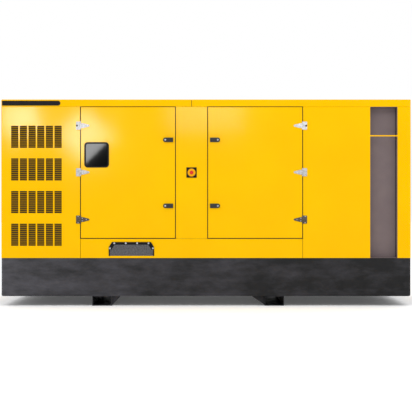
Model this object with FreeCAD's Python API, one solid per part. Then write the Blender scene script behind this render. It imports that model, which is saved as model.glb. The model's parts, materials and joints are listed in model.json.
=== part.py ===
import FreeCAD, Part
import math
import os

# Sound-proofed diesel generator set standing on two fork pockets.
#
# The steel base holds the fuel tank; the canopy above it has two service doors a side, louvred air inlets
# at the generator end and a recessed air outlet at the radiator end. All sizes are in millimetres.
# Frame: X along the set (generator end at -X, radiator end at +X), Y across it (front side at -Y), Z up.
# The origin is on the floor, under the middle of the set.

V = FreeCAD.Vector

# ---------------------------------------------------------------- driving dimensions
WIDTH = 1600.0                 # across the canopy and base, skin to skin
POCKET_HEIGHT = 115.0          # fork pocket, outside
BASE_HEIGHT = 445.0
WALL_HEIGHT = 1775.0
ROOF_HEIGHT = 85.0

# widths along X of the sections of a side, from the generator end
LOUVRE_PANEL_WIDTH = 931.0
DOOR_WIDTH = 1110.0            # from gap centre to gap centre
CENTRE_POST_WIDTH = 380.0
ENGINE_PANEL_WIDTH = 793.0
OUTLET_WIDTH = 320.0
CORNER_PANEL_WIDTH = 156.0

SHEET = 3.0                    # canopy sheet
PANEL_DEPTH = 40.0             # return flanges of the fixed panels
DOOR_DEPTH = 28.0              # return flanges of the doors
DOOR_GAP = 8.0                 # visible gap around a door
SEAM = 2.0                     # visible seam between fixed panels
TUBE = 60.0                    # square tube of the canopy frame
TUBE_WALL = 3.0
CORNER_RADIUS = 10.0           # bend radius of the canopy's outer corners
TOUCH = 0.3                    # clearance of parts that lie beside each other
RUN = 0.05                     # radial clearance of a pin in its bore

# base frame
BASE_PLATE = 8.0
BASE_FLANGE = 80.0
BASE_CORNER_RADIUS = 25.0
CROSS_WIDTH = 100.0
CROSS_HEIGHT = 100.0
CROSS_WALL = 6.0

# fork pockets
POCKET_WIDTH = 227.0
POCKET_WALL = 8.0
POCKET_SETBACK = 30.0          # from the side of the base to the mouth of a pocket
POCKET_LEFT_X = -1222.0
POCKET_RIGHT_X = 803.0
GUSSET_LENGTHS = {"left": 92.0, "right": 156.0}
GUSSET_PLATE = 8.0

# fuel tank
TANK_LENGTH = 1800.0
TANK_CENTRE_X = -210.0
TANK_SIDE_CLEARANCE = 42.0
TANK_TOP_CLEARANCE = 20.0
TANK_WALL = 3.0
FILLER_X = -520.0
FILLER_INSET = 60.0            # from the canopy frame to the filler's axis
FILLER_RADIUS = 40.0
FILLER_STANDS = 70.0           # above the base
FILLER_CAP_HEIGHT = 28.0

# doors
DOOR_BOTTOM = 233.0            # gap centre above the base
DOOR_TOP_CLEARANCE = 6.0       # below the roof
SEAL_WIDTH = 20.0
SEAL_INSET = 4.0
WINDOW_SIZE = (289.0, 297.0)   # outside of the rubber profile
WINDOW_CENTRE = (188.0, 565.0)     # from the hinge line and below the wall's top
WINDOW_RADIUS = 42.0
WINDOW_LIP = 12.0              # rubber that overlaps the skin
WINDOW_THROAT = 6.0
WINDOW_GLASS = 5.0

# T-hinges
HINGE_LOW = 219.0              # from the door's bottom gap to the lowest hinge
HINGE_HIGH = 223.0             # from the wall's top to the highest hinge
HINGE_MIDDLE = 0.504           # share of the way up from the lowest hinge to the highest
HINGE_AXIS_OUT = 7.0           # from the skin to the pin's axis
HINGE_LEAF = (45.0, 94.0, 5.0)
STRAP_LENGTH = 104.0
STRAP_HEIGHT = 58.0
STRAP_TIP_RADIUS = 11.0
KNUCKLE_RADIUS = 7.0
PIN_RADIUS = 4.0

# lever locks
LOCK_LOW = 380.0               # from the door's bottom gap to the lower lock
LOCK_HIGH = 389.0              # from the wall's top to the upper lock
LOCK_EDGE = 26.0               # from the gap centre to the square end of the lock plate
LOCK_LENGTH = 118.0
LOCK_HEIGHT = 53.0
LOCK_PLATE = 6.0
LOCK_LEVER = 20.0
LEVER_INSET = 3.0
KEY_RADIUS = 10.0
KEY_DEPTH = 2.0
SPINDLE_RADIUS = 12.0
CAM_LENGTH = 72.0
CAM_WIDTH = 26.0
CAM_THICK = 5.0
CAM_DEPTH = 48.0               # from the skin to the cam's outer face

# emergency stop
ESTOP_DROP = 772.0             # below the wall's top
ESTOP_BOX = 121.0
ESTOP_BOX_THICK = 6.0
ESTOP_HEAD_RADIUS = 22.0
ESTOP_HEAD = 13.0
ESTOP_STEM_RADIUS = 11.0
ESTOP_TRAVEL = 4.0
ESTOP_LEGEND = 2.0             # thickness of the legend disc, which lies on the box

# louvres
LOUVRE_EDGE = 117.0            # from the corner to the first column
LOUVRE_COLUMNS = 6
LOUVRE_ROWS = 11
LOUVRE_BANKS = 4
LOUVRE_SLOT = (85.0, 13.0)
LOUVRE_COLUMN_PITCH = 101.5
LOUVRE_ROW_PITCH = 24.5
LOUVRE_BANK_PITCH = 382.5
LOUVRE_TOP = 223.0             # from the wall's top to the top bank

# cable outlet
OUTLET_FRAME_WIDTH = 531.0
OUTLET_FRAME_HEIGHT = 164.0
OUTLET_FRAME_BOTTOM = 25.0     # above the base
OUTLET_FRAME_OFFSET = 330.0    # from the door's hinge line to the frame's end
OUTLET_CHAMFER = (37.0, 60.0)
OUTLET_BAR = 28.0
OUTLET_SIDE_BAR = 10.0
OUTLET_FRAME_THICK = 8.0
OUTLET_HOLE_LIP = 26.0         # below the upper bar of the clamping frame
FLAP_THICK = 5.0
FLAP_CLEARANCE = 3.0
BOLT_RADIUS = 8.0
BOLT_HEAD = 5.0

# air outlet
OUTLET_DUCT = 184.0            # how far the baffle reaches behind the engine panel
DUCT_MOUTH = 150.0             # between the baffle and the post beside it
INLET_BAFFLE_GAP = 141.0       # between the inlet baffle and the door post
TIE_BAR_DROP = 341.0           # below the wall's top
TIE_BAR = 14.0

# roof
TRIM_LENGTH = 694.0
TRIM_HEIGHT = 56.0
TRIM_PROUD = 3.0
TRIM_DROP = 2.0                # below the middle of the rim
ROOF_FLANGE = 65.0
EYE_WELL = (320.0, 260.0)      # along X and along Y
EYE_X = {"left": -1100.0, "right": 1000.0}
EYE_PLATE = (150.0, 20.0)
EYE_STANDS = 76.0
EYE_HOLE_RADIUS = 24.0
EYE_HOLE_HEIGHT = 40.0
EXHAUST_WELL = (280.0, 260.0)

# drive line
CRANK_HEIGHT = 440.0           # above the base
COUPLING_X = -450.0
BLOCK_LENGTH = 1280.0
BLOCK_WIDTH = 560.0
BLOCK_BELOW = 170.0
BLOCK_ABOVE = 330.0
BLOCK_WALL = 30.0
HEAD_HEIGHT = 110.0
HEAD_WIDTH = 420.0
ROCKER_COVER = (170.0, 300.0, 85.0)
CYLINDERS = 6
SUMP_HEIGHT = 130.0
SUMP_WIDTH = 440.0
SUMP_WALL = 6.0
BELL_LENGTH = 120.0
BELL_RADIUS = 330.0
BELL_WALL = 16.0
STATOR_LENGTH = 840.0
STATOR_RADIUS = 345.0
STATOR_WALL = 48.0
SHAFT_RADIUS = 45.0
ROTOR_GAP = 6.0
PULLEY_RADIUS = 130.0
PULLEY_WIDTH = 50.0
FLYWHEEL_RADIUS = 280.0
FLYWHEEL_THICK = 60.0
FAN_RISE = 260.0               # fan axis above the crankshaft
FAN_RADIUS = 430.0
FAN_BLADES = 8
FAN_PULLEY_RADIUS = 104.0
FAN_HUB_RADIUS = 120.0
FAN_DEPTH = 60.0
RAIL_HEIGHT = 120.0
RAIL_WIDTH = 80.0
RAIL_WALL = 8.0
MOUNT_RADIUS = 38.0
MOUNT_HEIGHT = 60.0
FOOT_PLATE = 14.0
FOOT_LENGTH = 140.0
RADIATOR_WIDTH = 1120.0
RADIATOR_HEIGHT = 1240.0
RADIATOR_THICK = 170.0
RADIATOR_TANK = 110.0
RADIATOR_CORE_INSET = 45.0
SHROUD_LENGTH = 90.0
SHROUD_WALL = 4.0
SILENCER_RADIUS = 135.0
SILENCER_LENGTH = 900.0
SILENCER_DROP = 220.0          # axis below the wall's top
PIPE_RADIUS = 57.0
PIPE_WALL = 3.0
TAIL_X = 2080.0
CAP_THICK = 4.0
CAP_BELOW_ROOF = 26.0          # from the roof to the flap over the tail pipe
CAP_PIN_RADIUS = 3.0
CAP_BARREL_RADIUS = 7.0
CAP_BARREL = 28.0
CAP_EAR = 4.0
CAP_REACH = 22.0               # from the pipe to the hinge pin of its flap
TURBO_X = 430.0
TURBO_RISER_RADIUS = 36.0
FILTER_RADIUS = 135.0
FILTER_LENGTH = 460.0
BATTERY = (520.0, 240.0, 220.0)
BATTERY_INSET = 90.0           # from the centre post to the first battery
BATTERY_GAP = 12.0
CABINET = (460.0, 260.0, 980.0)
CABINET_LEFT = 49.0            # from the door's hinge line
CABINET_BACK = 10.0            # from the canopy frame to the cabinet's face
CABINET_DROP = 275.0           # top below the wall's top
CABINET_WALL = 2.0
CABINET_LEG = 40.0
BREAKER_HEIGHT = 300.0         # handle's axis above the cabinet's bottom
BREAKER_SURROUND = (140.0, 260.0, 20.0)
BREAKER_SLOT = (52.0, 100.0)
BREAKER_BARREL_RADIUS = 12.0
BREAKER_TILT = 25.0            # of the handle below level when the breaker is off

# ---------------------------------------------------------------- derived places
X_CUTS = [0.0]
for width in (LOUVRE_PANEL_WIDTH, DOOR_WIDTH, CENTRE_POST_WIDTH, DOOR_WIDTH, ENGINE_PANEL_WIDTH,
              OUTLET_WIDTH, CORNER_PANEL_WIDTH):
    X_CUTS.append(X_CUTS[-1] + width)
LENGTH = X_CUTS[-1]
X_LEFT, X_DOOR1, X_POST1, X_POST2, X_DOOR2, X_OUTLET, X_CORNER, X_RIGHT = [x - LENGTH / 2 for x in X_CUTS]

FRONT = -WIDTH / 2
BASE_BOTTOM = POCKET_HEIGHT
BASE_TOP = BASE_BOTTOM + BASE_HEIGHT
WALL_TOP = BASE_TOP + WALL_HEIGHT
ROOF_TOP = WALL_TOP + ROOF_HEIGHT
FRAME_Y = FRONT + PANEL_DEPTH              # outer face of the canopy frame
FRAME_INNER_Y = FRAME_Y + TUBE
DOOR_Z0 = BASE_TOP + DOOR_BOTTOM
DOOR_Z1 = WALL_TOP - DOOR_TOP_CLEARANCE
POST_MID_X = (X_POST1 + X_POST2) / 2
CRANK_Z = BASE_TOP + CRANK_HEIGHT
HINGE_Y = FRONT - HINGE_AXIS_OUT
HINGE_SPAN = WALL_TOP - HINGE_HIGH - DOOR_Z0 - HINGE_LOW
HINGE_Z = [DOOR_Z0 + HINGE_LOW + share * HINGE_SPAN for share in (0.0, HINGE_MIDDLE, 1.0)]
LOCK_Z = {"lower": DOOR_Z0 + LOCK_LOW, "upper": WALL_TOP - LOCK_HIGH}
FILLER_Y = FRAME_INNER_Y + FILLER_INSET
SILENCER_Z = WALL_TOP - SILENCER_DROP

NODES = {}


# ---------------------------------------------------------------- helpers
def box(x0, x1, y0, y1, z0, z1):
    return Part.makeBox(x1 - x0, y1 - y0, z1 - z0, V(x0, y0, z0))


def cylinder(radius, length, start, direction):
    return Part.makeCylinder(radius, length, start, direction)


def tube(radius, wall, length, start, direction):
    return cylinder(radius, length, start, direction).cut(cylinder(radius - wall, length, start, direction))


def plate(points, y0, y1):
    """A flat plate in the XZ plane from a polygon of (x, z) points, between two Y faces."""
    wire = Part.makePolygon([V(x, y0, z) for x, z in points] + [V(points[0][0], y0, points[0][1])])
    return Part.Face(wire).extrude(V(0, y1 - y0, 0))


def edges_at(shape, **where):
    """The edges of a shape that lie wholly at the coordinates given, such as x=0, y=10."""
    found = []
    for edge in shape.Edges:
        ends = [v.Point for v in edge.Vertexes]
        if all(abs(getattr(p, axis) - value) < 1e-6 for p in ends for axis, value in where.items()):
            found.append(edge)
    return found


def rounded_box(x0, x1, z0, z1, y0, y1, radius):
    """A box whose four edges along Y are rounded."""
    block = box(x0, x1, y0, y1, z0, z1)
    corners = [e for x in (x0, x1) for z in (z0, z1) for e in edges_at(block, x=x, z=z)]
    return block.makeFillet(radius, corners)


def rear(shape):
    """The same piece on the other long side."""
    return shape.mirror(V(0, 0, 0), V(0, 1, 0))


def both_sides(shapes):
    return list(shapes) + [rear(s) for s in shapes]


def node(name, solids):
    NODES[name] = Part.makeCompound(solids)


def square_tube(x0, x1, y0, y1, z0, z1, wall, along):
    """A hollow bar that fills a box and is open at both ends along one axis."""
    inner = {"x0": x0 + wall, "x1": x1 - wall, "y0": y0 + wall, "y1": y1 - wall,
             "z0": z0 + wall, "z1": z1 - wall}
    inner[along + "0"] = {"x": x0, "y": y0, "z": z0}[along]
    inner[along + "1"] = {"x": x1, "y": y1, "z": z1}[along]
    return box(x0, x1, y0, y1, z0, z1).cut(box(**inner))


# ---------------------------------------------------------------- base
def base_rail():
    """The front side rail: a C section whose web is the outside of the base."""
    x0 = X_LEFT + BASE_FLANGE
    x1 = X_RIGHT - BASE_FLANGE
    outer = box(x0, x1, FRONT, FRONT + BASE_FLANGE, BASE_BOTTOM, BASE_TOP)
    hollow = box(x0, x1, FRONT + BASE_PLATE, FRONT + BASE_FLANGE,
                 BASE_BOTTOM + BASE_PLATE, BASE_TOP - BASE_PLATE)
    return outer.cut(hollow)


def base_end(x_outer, inward):
    """An end rail across the base, with its outer corners bent round."""
    x0, x1 = sorted((x_outer, x_outer + inward * BASE_FLANGE))
    outer = box(x0, x1, FRONT, -FRONT, BASE_BOTTOM, BASE_TOP)
    bends = edges_at(outer, x=x_outer, y=FRONT) + edges_at(outer, x=x_outer, y=-FRONT)
    bends += edges_at(outer, x=x_outer, z=BASE_BOTTOM)
    outer = outer.makeFillet(BASE_CORNER_RADIUS, bends)
    h0, h1 = sorted((x_outer + inward * BASE_PLATE, x_outer + inward * BASE_FLANGE))
    hollow = box(h0, h1, FRONT + BASE_PLATE, -FRONT - BASE_PLATE,
                 BASE_BOTTOM + BASE_PLATE, BASE_TOP - BASE_PLATE)
    return outer.cut(hollow)


def cross_member(x_middle):
    """A box section between the side rails, flush with the top of the base."""
    return square_tube(x_middle - CROSS_WIDTH / 2, x_middle + CROSS_WIDTH / 2,
                       FRONT + BASE_PLATE, -FRONT - BASE_PLATE,
                       BASE_TOP - BASE_PLATE - CROSS_HEIGHT, BASE_TOP - BASE_PLATE, CROSS_WALL, "y")


def deck_plate():
    """The floor of the canopy, which lies on the cross members, with a hole for the filler neck."""
    x0 = X_LEFT + BASE_FLANGE
    y0 = FRONT + BASE_FLANGE
    deck = box(x0, -x0, y0, -y0, BASE_TOP - BASE_PLATE, BASE_TOP)
    neck = V(FILLER_X, FILLER_Y, BASE_TOP - BASE_PLATE)
    return deck.cut(cylinder(FILLER_RADIUS + TOUCH, BASE_PLATE, neck, V(0, 0, 1)))


def fork_pocket(x_middle, gusset_side, gusset_length):
    """Four plates welded to a tube across the set, with two triangular gussets on one side of it."""
    y0 = FRONT + POCKET_SETBACK
    x0 = x_middle - POCKET_WIDTH / 2
    x1 = x_middle + POCKET_WIDTH / 2
    wall = POCKET_WALL
    solids = [box(x0, x1, y0, -y0, 0.0, wall),
              box(x0, x1, y0, -y0, POCKET_HEIGHT - wall, POCKET_HEIGHT),
              box(x0, x0 + wall, y0, -y0, wall, POCKET_HEIGHT - wall),
              box(x1 - wall, x1, y0, -y0, wall, POCKET_HEIGHT - wall)]
    side = x1 if gusset_side > 0 else x0
    tip = side + gusset_side * gusset_length
    triangle = [(side, POCKET_WALL), (side, POCKET_HEIGHT), (tip, POCKET_HEIGHT)]
    solids += both_sides([plate(triangle, y0 + POCKET_SETBACK, y0 + POCKET_SETBACK + GUSSET_PLATE)])
    return solids


def tank_and_cap():
    """The fuel tank with its filler neck, and the cap that turns on the neck."""
    x0 = TANK_CENTRE_X - TANK_LENGTH / 2
    y0 = FRONT + TANK_SIDE_CLEARANCE
    z0 = BASE_BOTTOM + BASE_PLATE
    z1 = BASE_TOP - BASE_PLATE - CROSS_HEIGHT - TANK_TOP_CLEARANCE
    wall = TANK_WALL
    filler = V(FILLER_X, FILLER_Y, z1 - wall)
    neck_length = BASE_TOP + FILLER_STANDS - filler.z
    up = V(0, 0, 1)
    tank = box(x0, x0 + TANK_LENGTH, y0, -y0, z0, z1)
    tank = tank.fuse(cylinder(FILLER_RADIUS, neck_length, filler, up)).removeSplitter()
    tank = tank.cut(box(x0 + wall, x0 + TANK_LENGTH - wall, y0 + wall, -y0 - wall, z0 + wall, z1 - wall))
    tank = tank.cut(cylinder(FILLER_RADIUS - wall, neck_length, filler, up))
    top = filler + V(0, 0, neck_length)
    lid = cylinder(FILLER_RADIUS + 4 * wall, FILLER_CAP_HEIGHT, top + V(0, 0, TOUCH), up)
    grip = box(FILLER_X - FILLER_RADIUS, FILLER_X + FILLER_RADIUS, filler.y - 2 * wall, filler.y + 2 * wall,
               top.z + FILLER_CAP_HEIGHT, top.z + 2 * FILLER_CAP_HEIGHT)
    return tank, lid.fuse(grip).removeSplitter()


def build_base():
    crosses = [X_DOOR1, POCKET_LEFT_X + 2 * CROSS_WIDTH, POCKET_RIGHT_X, X_OUTLET - 2 * CROSS_WIDTH]
    node("base_frame", both_sides([base_rail()]) + [base_end(X_LEFT, 1), base_end(X_RIGHT, -1)]
         + [cross_member(x) for x in crosses] + [deck_plate()])
    node("fork_pocket_left", fork_pocket(POCKET_LEFT_X, 1, GUSSET_LENGTHS["left"]))
    node("fork_pocket_right", fork_pocket(POCKET_RIGHT_X, -1, GUSSET_LENGTHS["right"]))
    tank, cap = tank_and_cap()
    node("fuel_tank", [tank])
    node("fuel_cap", [cap])


# ---------------------------------------------------------------- canopy
def pan(x0, x1, z0, z1, depth, round_x=None):
    """A folded sheet on the front side, with return flanges; round_x names a corner that is bent round."""
    outer = box(x0, x1, FRONT, FRONT + depth, z0, z1)
    inner = box(x0 + SHEET, x1 - SHEET, FRONT + SHEET, FRONT + depth, z0 + SHEET, z1 - SHEET)
    if round_x is not None:
        outer = outer.makeFillet(CORNER_RADIUS, edges_at(outer, x=round_x, y=FRONT))
        inner_x = round_x + SHEET if round_x == x0 else round_x - SHEET
        inner = inner.makeFillet(CORNER_RADIUS - SHEET, edges_at(inner, x=inner_x, y=FRONT + SHEET))
    return outer.cut(inner)


def louvre_slots():
    """The slots of one louvred panel, as one tool."""
    width, height = LOUVRE_SLOT
    x_first = X_LEFT + LOUVRE_EDGE
    z_first = WALL_TOP - LOUVRE_TOP - height
    slots = []
    for bank in range(LOUVRE_BANKS):
        for row in range(LOUVRE_ROWS):
            z = z_first - bank * LOUVRE_BANK_PITCH - row * LOUVRE_ROW_PITCH
            for column in range(LOUVRE_COLUMNS):
                x = x_first + column * LOUVRE_COLUMN_PITCH
                slots.append(box(x, x + width, FRONT - SHEET, FRONT + 2 * SHEET, z, z + height))
    return Part.makeCompound(slots)


def frame_post(x_middle, z0=BASE_TOP + TUBE, z1=WALL_TOP - TUBE):
    return square_tube(x_middle - TUBE / 2, x_middle + TUBE / 2, FRAME_Y, FRAME_INNER_Y, z0, z1, TUBE_WALL, "z")


def side_frame():
    """Posts and rails of the front side; the rails stop at the air outlet."""
    corner = PANEL_DEPTH + TUBE / 2
    x_duct = X_OUTLET - OUTLET_DUCT - DUCT_MOUTH
    posts = [X_LEFT + corner, X_DOOR1, X_POST1, X_POST2, X_DOOR2, x_duct - TUBE / 2]
    solids = [frame_post(x) for x in posts] + [frame_post(X_RIGHT - corner, BASE_TOP, WALL_TOP)]
    for z in (BASE_TOP, WALL_TOP - TUBE):
        solids.append(square_tube(X_LEFT + PANEL_DEPTH, X_OUTLET, FRAME_Y, FRAME_INNER_Y, z, z + TUBE,
                                  TUBE_WALL, "x"))
    for left, right in ((X_DOOR1, X_POST1), (X_POST2, X_DOOR2)):
        solids.append(square_tube(left + TUBE / 2, right - TUBE / 2, FRAME_Y, FRAME_INNER_Y,
                                  DOOR_Z0 - TUBE / 2, DOOR_Z0 + TUBE / 2, TUBE_WALL, "x"))
    return solids


def cross_beams():
    """Beams across the canopy at roof height: one at each end and one under each lifting eye."""
    x_first = X_LEFT + PANEL_DEPTH
    x_last = X_RIGHT - PANEL_DEPTH
    spans = [(x_first, x_first + TUBE), (x_last - TUBE, x_last)]
    spans += [(x - EYE_PLATE[0] / 2, x + EYE_PLATE[0] / 2) for x in EYE_X.values()]
    return [square_tube(a, b, FRAME_INNER_Y, -FRAME_INNER_Y, WALL_TOP - TUBE, WALL_TOP, TUBE_WALL, "y")
            for a, b in spans]


def side_panels(with_cable_hole):
    """The fixed panels of the front side, and the tie bar between the last two, across the air outlet."""
    z0 = BASE_TOP + SEAM
    z1 = WALL_TOP - SEAM
    sill_top = DOOR_Z0 - DOOR_GAP / 2
    sill = pan(X_DOOR1 + SEAM / 2, X_DOOR2 - SEAM / 2, z0, sill_top, PANEL_DEPTH)
    if with_cable_hole:
        x0, x1, bottom, top = cable_hole()
        sill = sill.cut(box(x0, x1, FRONT - SHEET, FRONT + PANEL_DEPTH, bottom, top))
    post = pan(X_POST1 + DOOR_GAP / 2, X_POST2 - DOOR_GAP / 2, sill_top + SEAM, z1, PANEL_DEPTH)
    engine = pan(X_DOOR2 + DOOR_GAP / 2, X_OUTLET, z0, z1, PANEL_DEPTH)
    corner = pan(X_CORNER, X_RIGHT, z0, z1, PANEL_DEPTH, round_x=X_RIGHT)
    tie_z = WALL_TOP - TIE_BAR_DROP
    tie_bar = box(X_OUTLET, X_CORNER, FRONT, FRONT + SHEET, tie_z - TIE_BAR / 2, tie_z + TIE_BAR / 2)
    return [sill, post, engine, tie_bar, corner]


def louvre_panel():
    panel = pan(X_LEFT, X_DOOR1 - DOOR_GAP / 2, BASE_TOP + SEAM, WALL_TOP - SEAM, PANEL_DEPTH, round_x=X_LEFT)
    return panel.cut(louvre_slots())


def end_panel(x_outer, inward):
    """A folded sheet that closes one end between the side panels."""
    half = -FRONT - PANEL_DEPTH - SEAM
    x0, x1 = sorted((x_outer, x_outer + inward * PANEL_DEPTH))
    z0 = BASE_TOP + SEAM
    z1 = WALL_TOP - SEAM
    h0, h1 = sorted((x_outer + inward * SHEET, x_outer + inward * PANEL_DEPTH))
    return box(x0, x1, -half, half, z0, z1).cut(
        box(h0, h1, -half + SHEET, half - SHEET, z0 + SHEET, z1 - SHEET))


def air_baffles():
    """Sheets behind the front side that make the air turn a corner.

    One stands behind the louvres. The others line the air outlet: its back, which reaches behind the engine
    panel, its far cheek, its floor and its top.
    """
    back_y = FRAME_INNER_Y
    inlet_end = X_DOOR1 - TUBE / 2 - INLET_BAFFLE_GAP
    inlet = box(X_LEFT + PANEL_DEPTH + TUBE, inlet_end, back_y, back_y + SHEET, BASE_TOP, WALL_TOP)
    back = box(X_OUTLET - OUTLET_DUCT, X_CORNER, back_y, back_y + SHEET, BASE_TOP, WALL_TOP)
    low = BASE_TOP + SEAM
    high = WALL_TOP - SEAM
    floor = box(X_OUTLET, X_CORNER - SHEET, FRONT + SHEET, back_y, low, low + SHEET)
    top = box(X_OUTLET, X_CORNER - SHEET, FRONT + SHEET, back_y, high - SHEET, high)
    cheek = box(X_CORNER - SHEET, X_CORNER, FRONT + SHEET, back_y, low, high)
    return [inlet, back, floor, top, cheek]


def door_seal(x_hinge, x_free):
    """Four lengths of rubber profile on the frame, which the door closes against."""
    x0, x1 = sorted((x_hinge, x_free))
    edge = DOOR_GAP / 2 + SEAL_INSET
    x0 += edge
    x1 -= edge
    z0 = DOOR_Z0 + edge
    z1 = DOOR_Z1 - SEAL_INSET
    y0 = FRONT + DOOR_DEPTH + TOUCH
    return [box(x0, x1, y0, FRAME_Y, z0, z0 + SEAL_WIDTH),
            box(x0, x1, y0, FRAME_Y, z1 - SEAL_WIDTH, z1),
            box(x0, x0 + SEAL_WIDTH, y0, FRAME_Y, z0 + SEAL_WIDTH, z1 - SEAL_WIDTH),
            box(x1 - SEAL_WIDTH, x1, y0, FRAME_Y, z0 + SEAL_WIDTH, z1 - SEAL_WIDTH)]


def roof_panel(x0, x1, wells):
    """A roof pan that stands on the frame by an inner flange.

    wells are (x, (length, width), cut-out): sunk trays, each with the shape that is cut out of its floor.
    """
    outer = box(x0, x1, FRONT, -FRONT, WALL_TOP, ROOF_TOP)
    inner = box(x0 + SHEET, x1 - SHEET, FRONT + SHEET, -FRONT - SHEET, WALL_TOP + SHEET, ROOF_TOP - SHEET)
    outer_x = x0 if x0 == X_LEFT else x1
    inner_x = outer_x + (SHEET if outer_x == x0 else -SHEET)
    outer = outer.makeFillet(CORNER_RADIUS, roof_bends(outer, outer_x, FRONT, ROOF_TOP))
    inner = inner.makeFillet(CORNER_RADIUS - SHEET, roof_bends(inner, inner_x, FRONT + SHEET, ROOF_TOP - SHEET))
    opening = box(x0 + ROOF_FLANGE, x1 - ROOF_FLANGE, FRONT + ROOF_FLANGE, -FRONT - ROOF_FLANGE,
                  WALL_TOP, WALL_TOP + SHEET)
    cavity = inner.fuse(opening)
    for x, (length, width), _ in wells:
        cavity = cavity.cut(box(x - length / 2 - SHEET, x + length / 2 + SHEET, -width / 2 - SHEET,
                                width / 2 + SHEET, WALL_TOP, ROOF_TOP))
    roof = outer.cut(cavity)
    for x, (length, width), cut_out in wells:
        tray = box(x - length / 2, x + length / 2, -width / 2, width / 2, WALL_TOP + SHEET, ROOF_TOP)
        roof = roof.cut(tray).cut(cut_out)
    return roof


def roof_bends(block, x, y, z):
    """The edges of a roof block that are bent round: along its two sides and along and beside its outer end."""
    bends = edges_at(block, x=x, z=z)
    for side in (y, -y):
        bends += edges_at(block, y=side, z=z) + edges_at(block, y=side, x=x)
    return bends


def trim_strip():
    """A black moulding on the roof's rim, from its round end to the bend at the corner."""
    z_mid = WALL_TOP + ROOF_HEIGHT / 2 - TRIM_DROP
    radius = TRIM_HEIGHT / 2
    x_round = X_LEFT + TRIM_LENGTH - radius
    y0 = FRONT - TRIM_PROUD
    bar = box(X_LEFT + CORNER_RADIUS, x_round, y0, FRONT, z_mid - radius, z_mid + radius)
    return bar.fuse(cylinder(radius, TRIM_PROUD, V(x_round, y0, z_mid), V(0, 1, 0))).removeSplitter()


def lifting_eye(x):
    """An upright plate with a shackle hole, standing on its cross beam inside a well of the roof."""
    length, thick = EYE_PLATE
    upright = box(x - length / 2, x + length / 2, -thick / 2, thick / 2, WALL_TOP, WALL_TOP + EYE_STANDS)
    tops = [e for side in (-1, 1) for e in edges_at(upright, x=x + side * length / 2, z=WALL_TOP + EYE_STANDS)]
    upright = upright.makeFillet(EYE_STANDS / 2, tops)
    hole = V(x, -thick / 2, WALL_TOP + EYE_HOLE_HEIGHT)
    return upright.cut(cylinder(EYE_HOLE_RADIUS, thick, hole, V(0, 1, 0)))


def eye_slot(x):
    """The slot in a well's floor that a lifting eye stands through."""
    half_length = EYE_PLATE[0] / 2 + TOUCH
    half_thick = EYE_PLATE[1] / 2 + TOUCH
    return box(x - half_length, x + half_length, -half_thick, half_thick, WALL_TOP, ROOF_TOP)


def build_canopy():
    node("canopy_frame", both_sides(side_frame()) + cross_beams())
    node("louvre_panels", both_sides([louvre_panel()]))
    node("front_side_panels", side_panels(True))
    node("rear_side_panels", [rear(s) for s in side_panels(False)])
    node("end_panels", [end_panel(X_LEFT, 1), end_panel(X_RIGHT, -1)])
    node("air_baffles", both_sides(air_baffles()))
    node("door_seals", both_sides(door_seal(X_DOOR1, X_POST1) + door_seal(X_POST2, X_DOOR2)))
    split = POST_MID_X
    wells = {side: (x, EYE_WELL, eye_slot(x)) for side, x in EYE_X.items()}
    pipe_hole = cylinder(PIPE_RADIUS + SHEET, ROOF_HEIGHT, V(TAIL_X, 0, WALL_TOP), V(0, 0, 1))
    exhaust_well = (TAIL_X, EXHAUST_WELL, pipe_hole)
    node("left_roof_panel", [roof_panel(X_LEFT, split - SEAM / 2, [wells["left"]])])
    node("right_roof_panel", [roof_panel(split + SEAM / 2, X_RIGHT, [wells["right"], exhaust_well])])
    node("roof_trim_strips", both_sides([trim_strip()]))
    node("lifting_eyes", [lifting_eye(x) for x in EYE_X.values()])


# ---------------------------------------------------------------- doors
def door_skin(x_hinge, x_free, window):
    x0, x1 = sorted((x_hinge, x_free))
    skin = pan(x0 + DOOR_GAP / 2, x1 - DOOR_GAP / 2, DOOR_Z0 + DOOR_GAP / 2, DOOR_Z1, DOOR_DEPTH)
    for z in LOCK_Z.values():
        key = lock_axis(x_hinge, x_free, z)
        skin = skin.cut(cylinder(SPINDLE_RADIUS + 1.0, SHEET, V(key.x, FRONT, key.z), V(0, 1, 0)))
    if window:
        skin = skin.cut(window_block(WINDOW_LIP, FRONT, FRONT + SHEET))
    return skin


def window_block(inset, y0, y1):
    """A rounded block in the window's place, taken in from the outside of its rubber profile."""
    width, height = WINDOW_SIZE
    x_mid = X_DOOR1 + WINDOW_CENTRE[0]
    z_mid = WALL_TOP - WINDOW_CENTRE[1]
    return rounded_box(x_mid - width / 2 + inset, x_mid + width / 2 - inset, z_mid - height / 2 + inset,
                       z_mid + height / 2 - inset, y0, y1, WINDOW_RADIUS - inset)


def window_parts():
    """The rubber profile and the pane that it holds."""
    throat = WINDOW_LIP + WINDOW_THROAT
    y_lip = FRONT - 5.0
    y_back = FRONT + 2 * SHEET + WINDOW_GLASS
    seal = window_block(0.0, y_lip, FRONT).fuse(window_block(WINDOW_LIP, FRONT, y_back)).removeSplitter()
    seal = seal.cut(window_block(throat, y_lip, y_back))
    glass = window_block(throat, FRONT, FRONT + WINDOW_GLASS)
    return seal, glass


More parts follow.
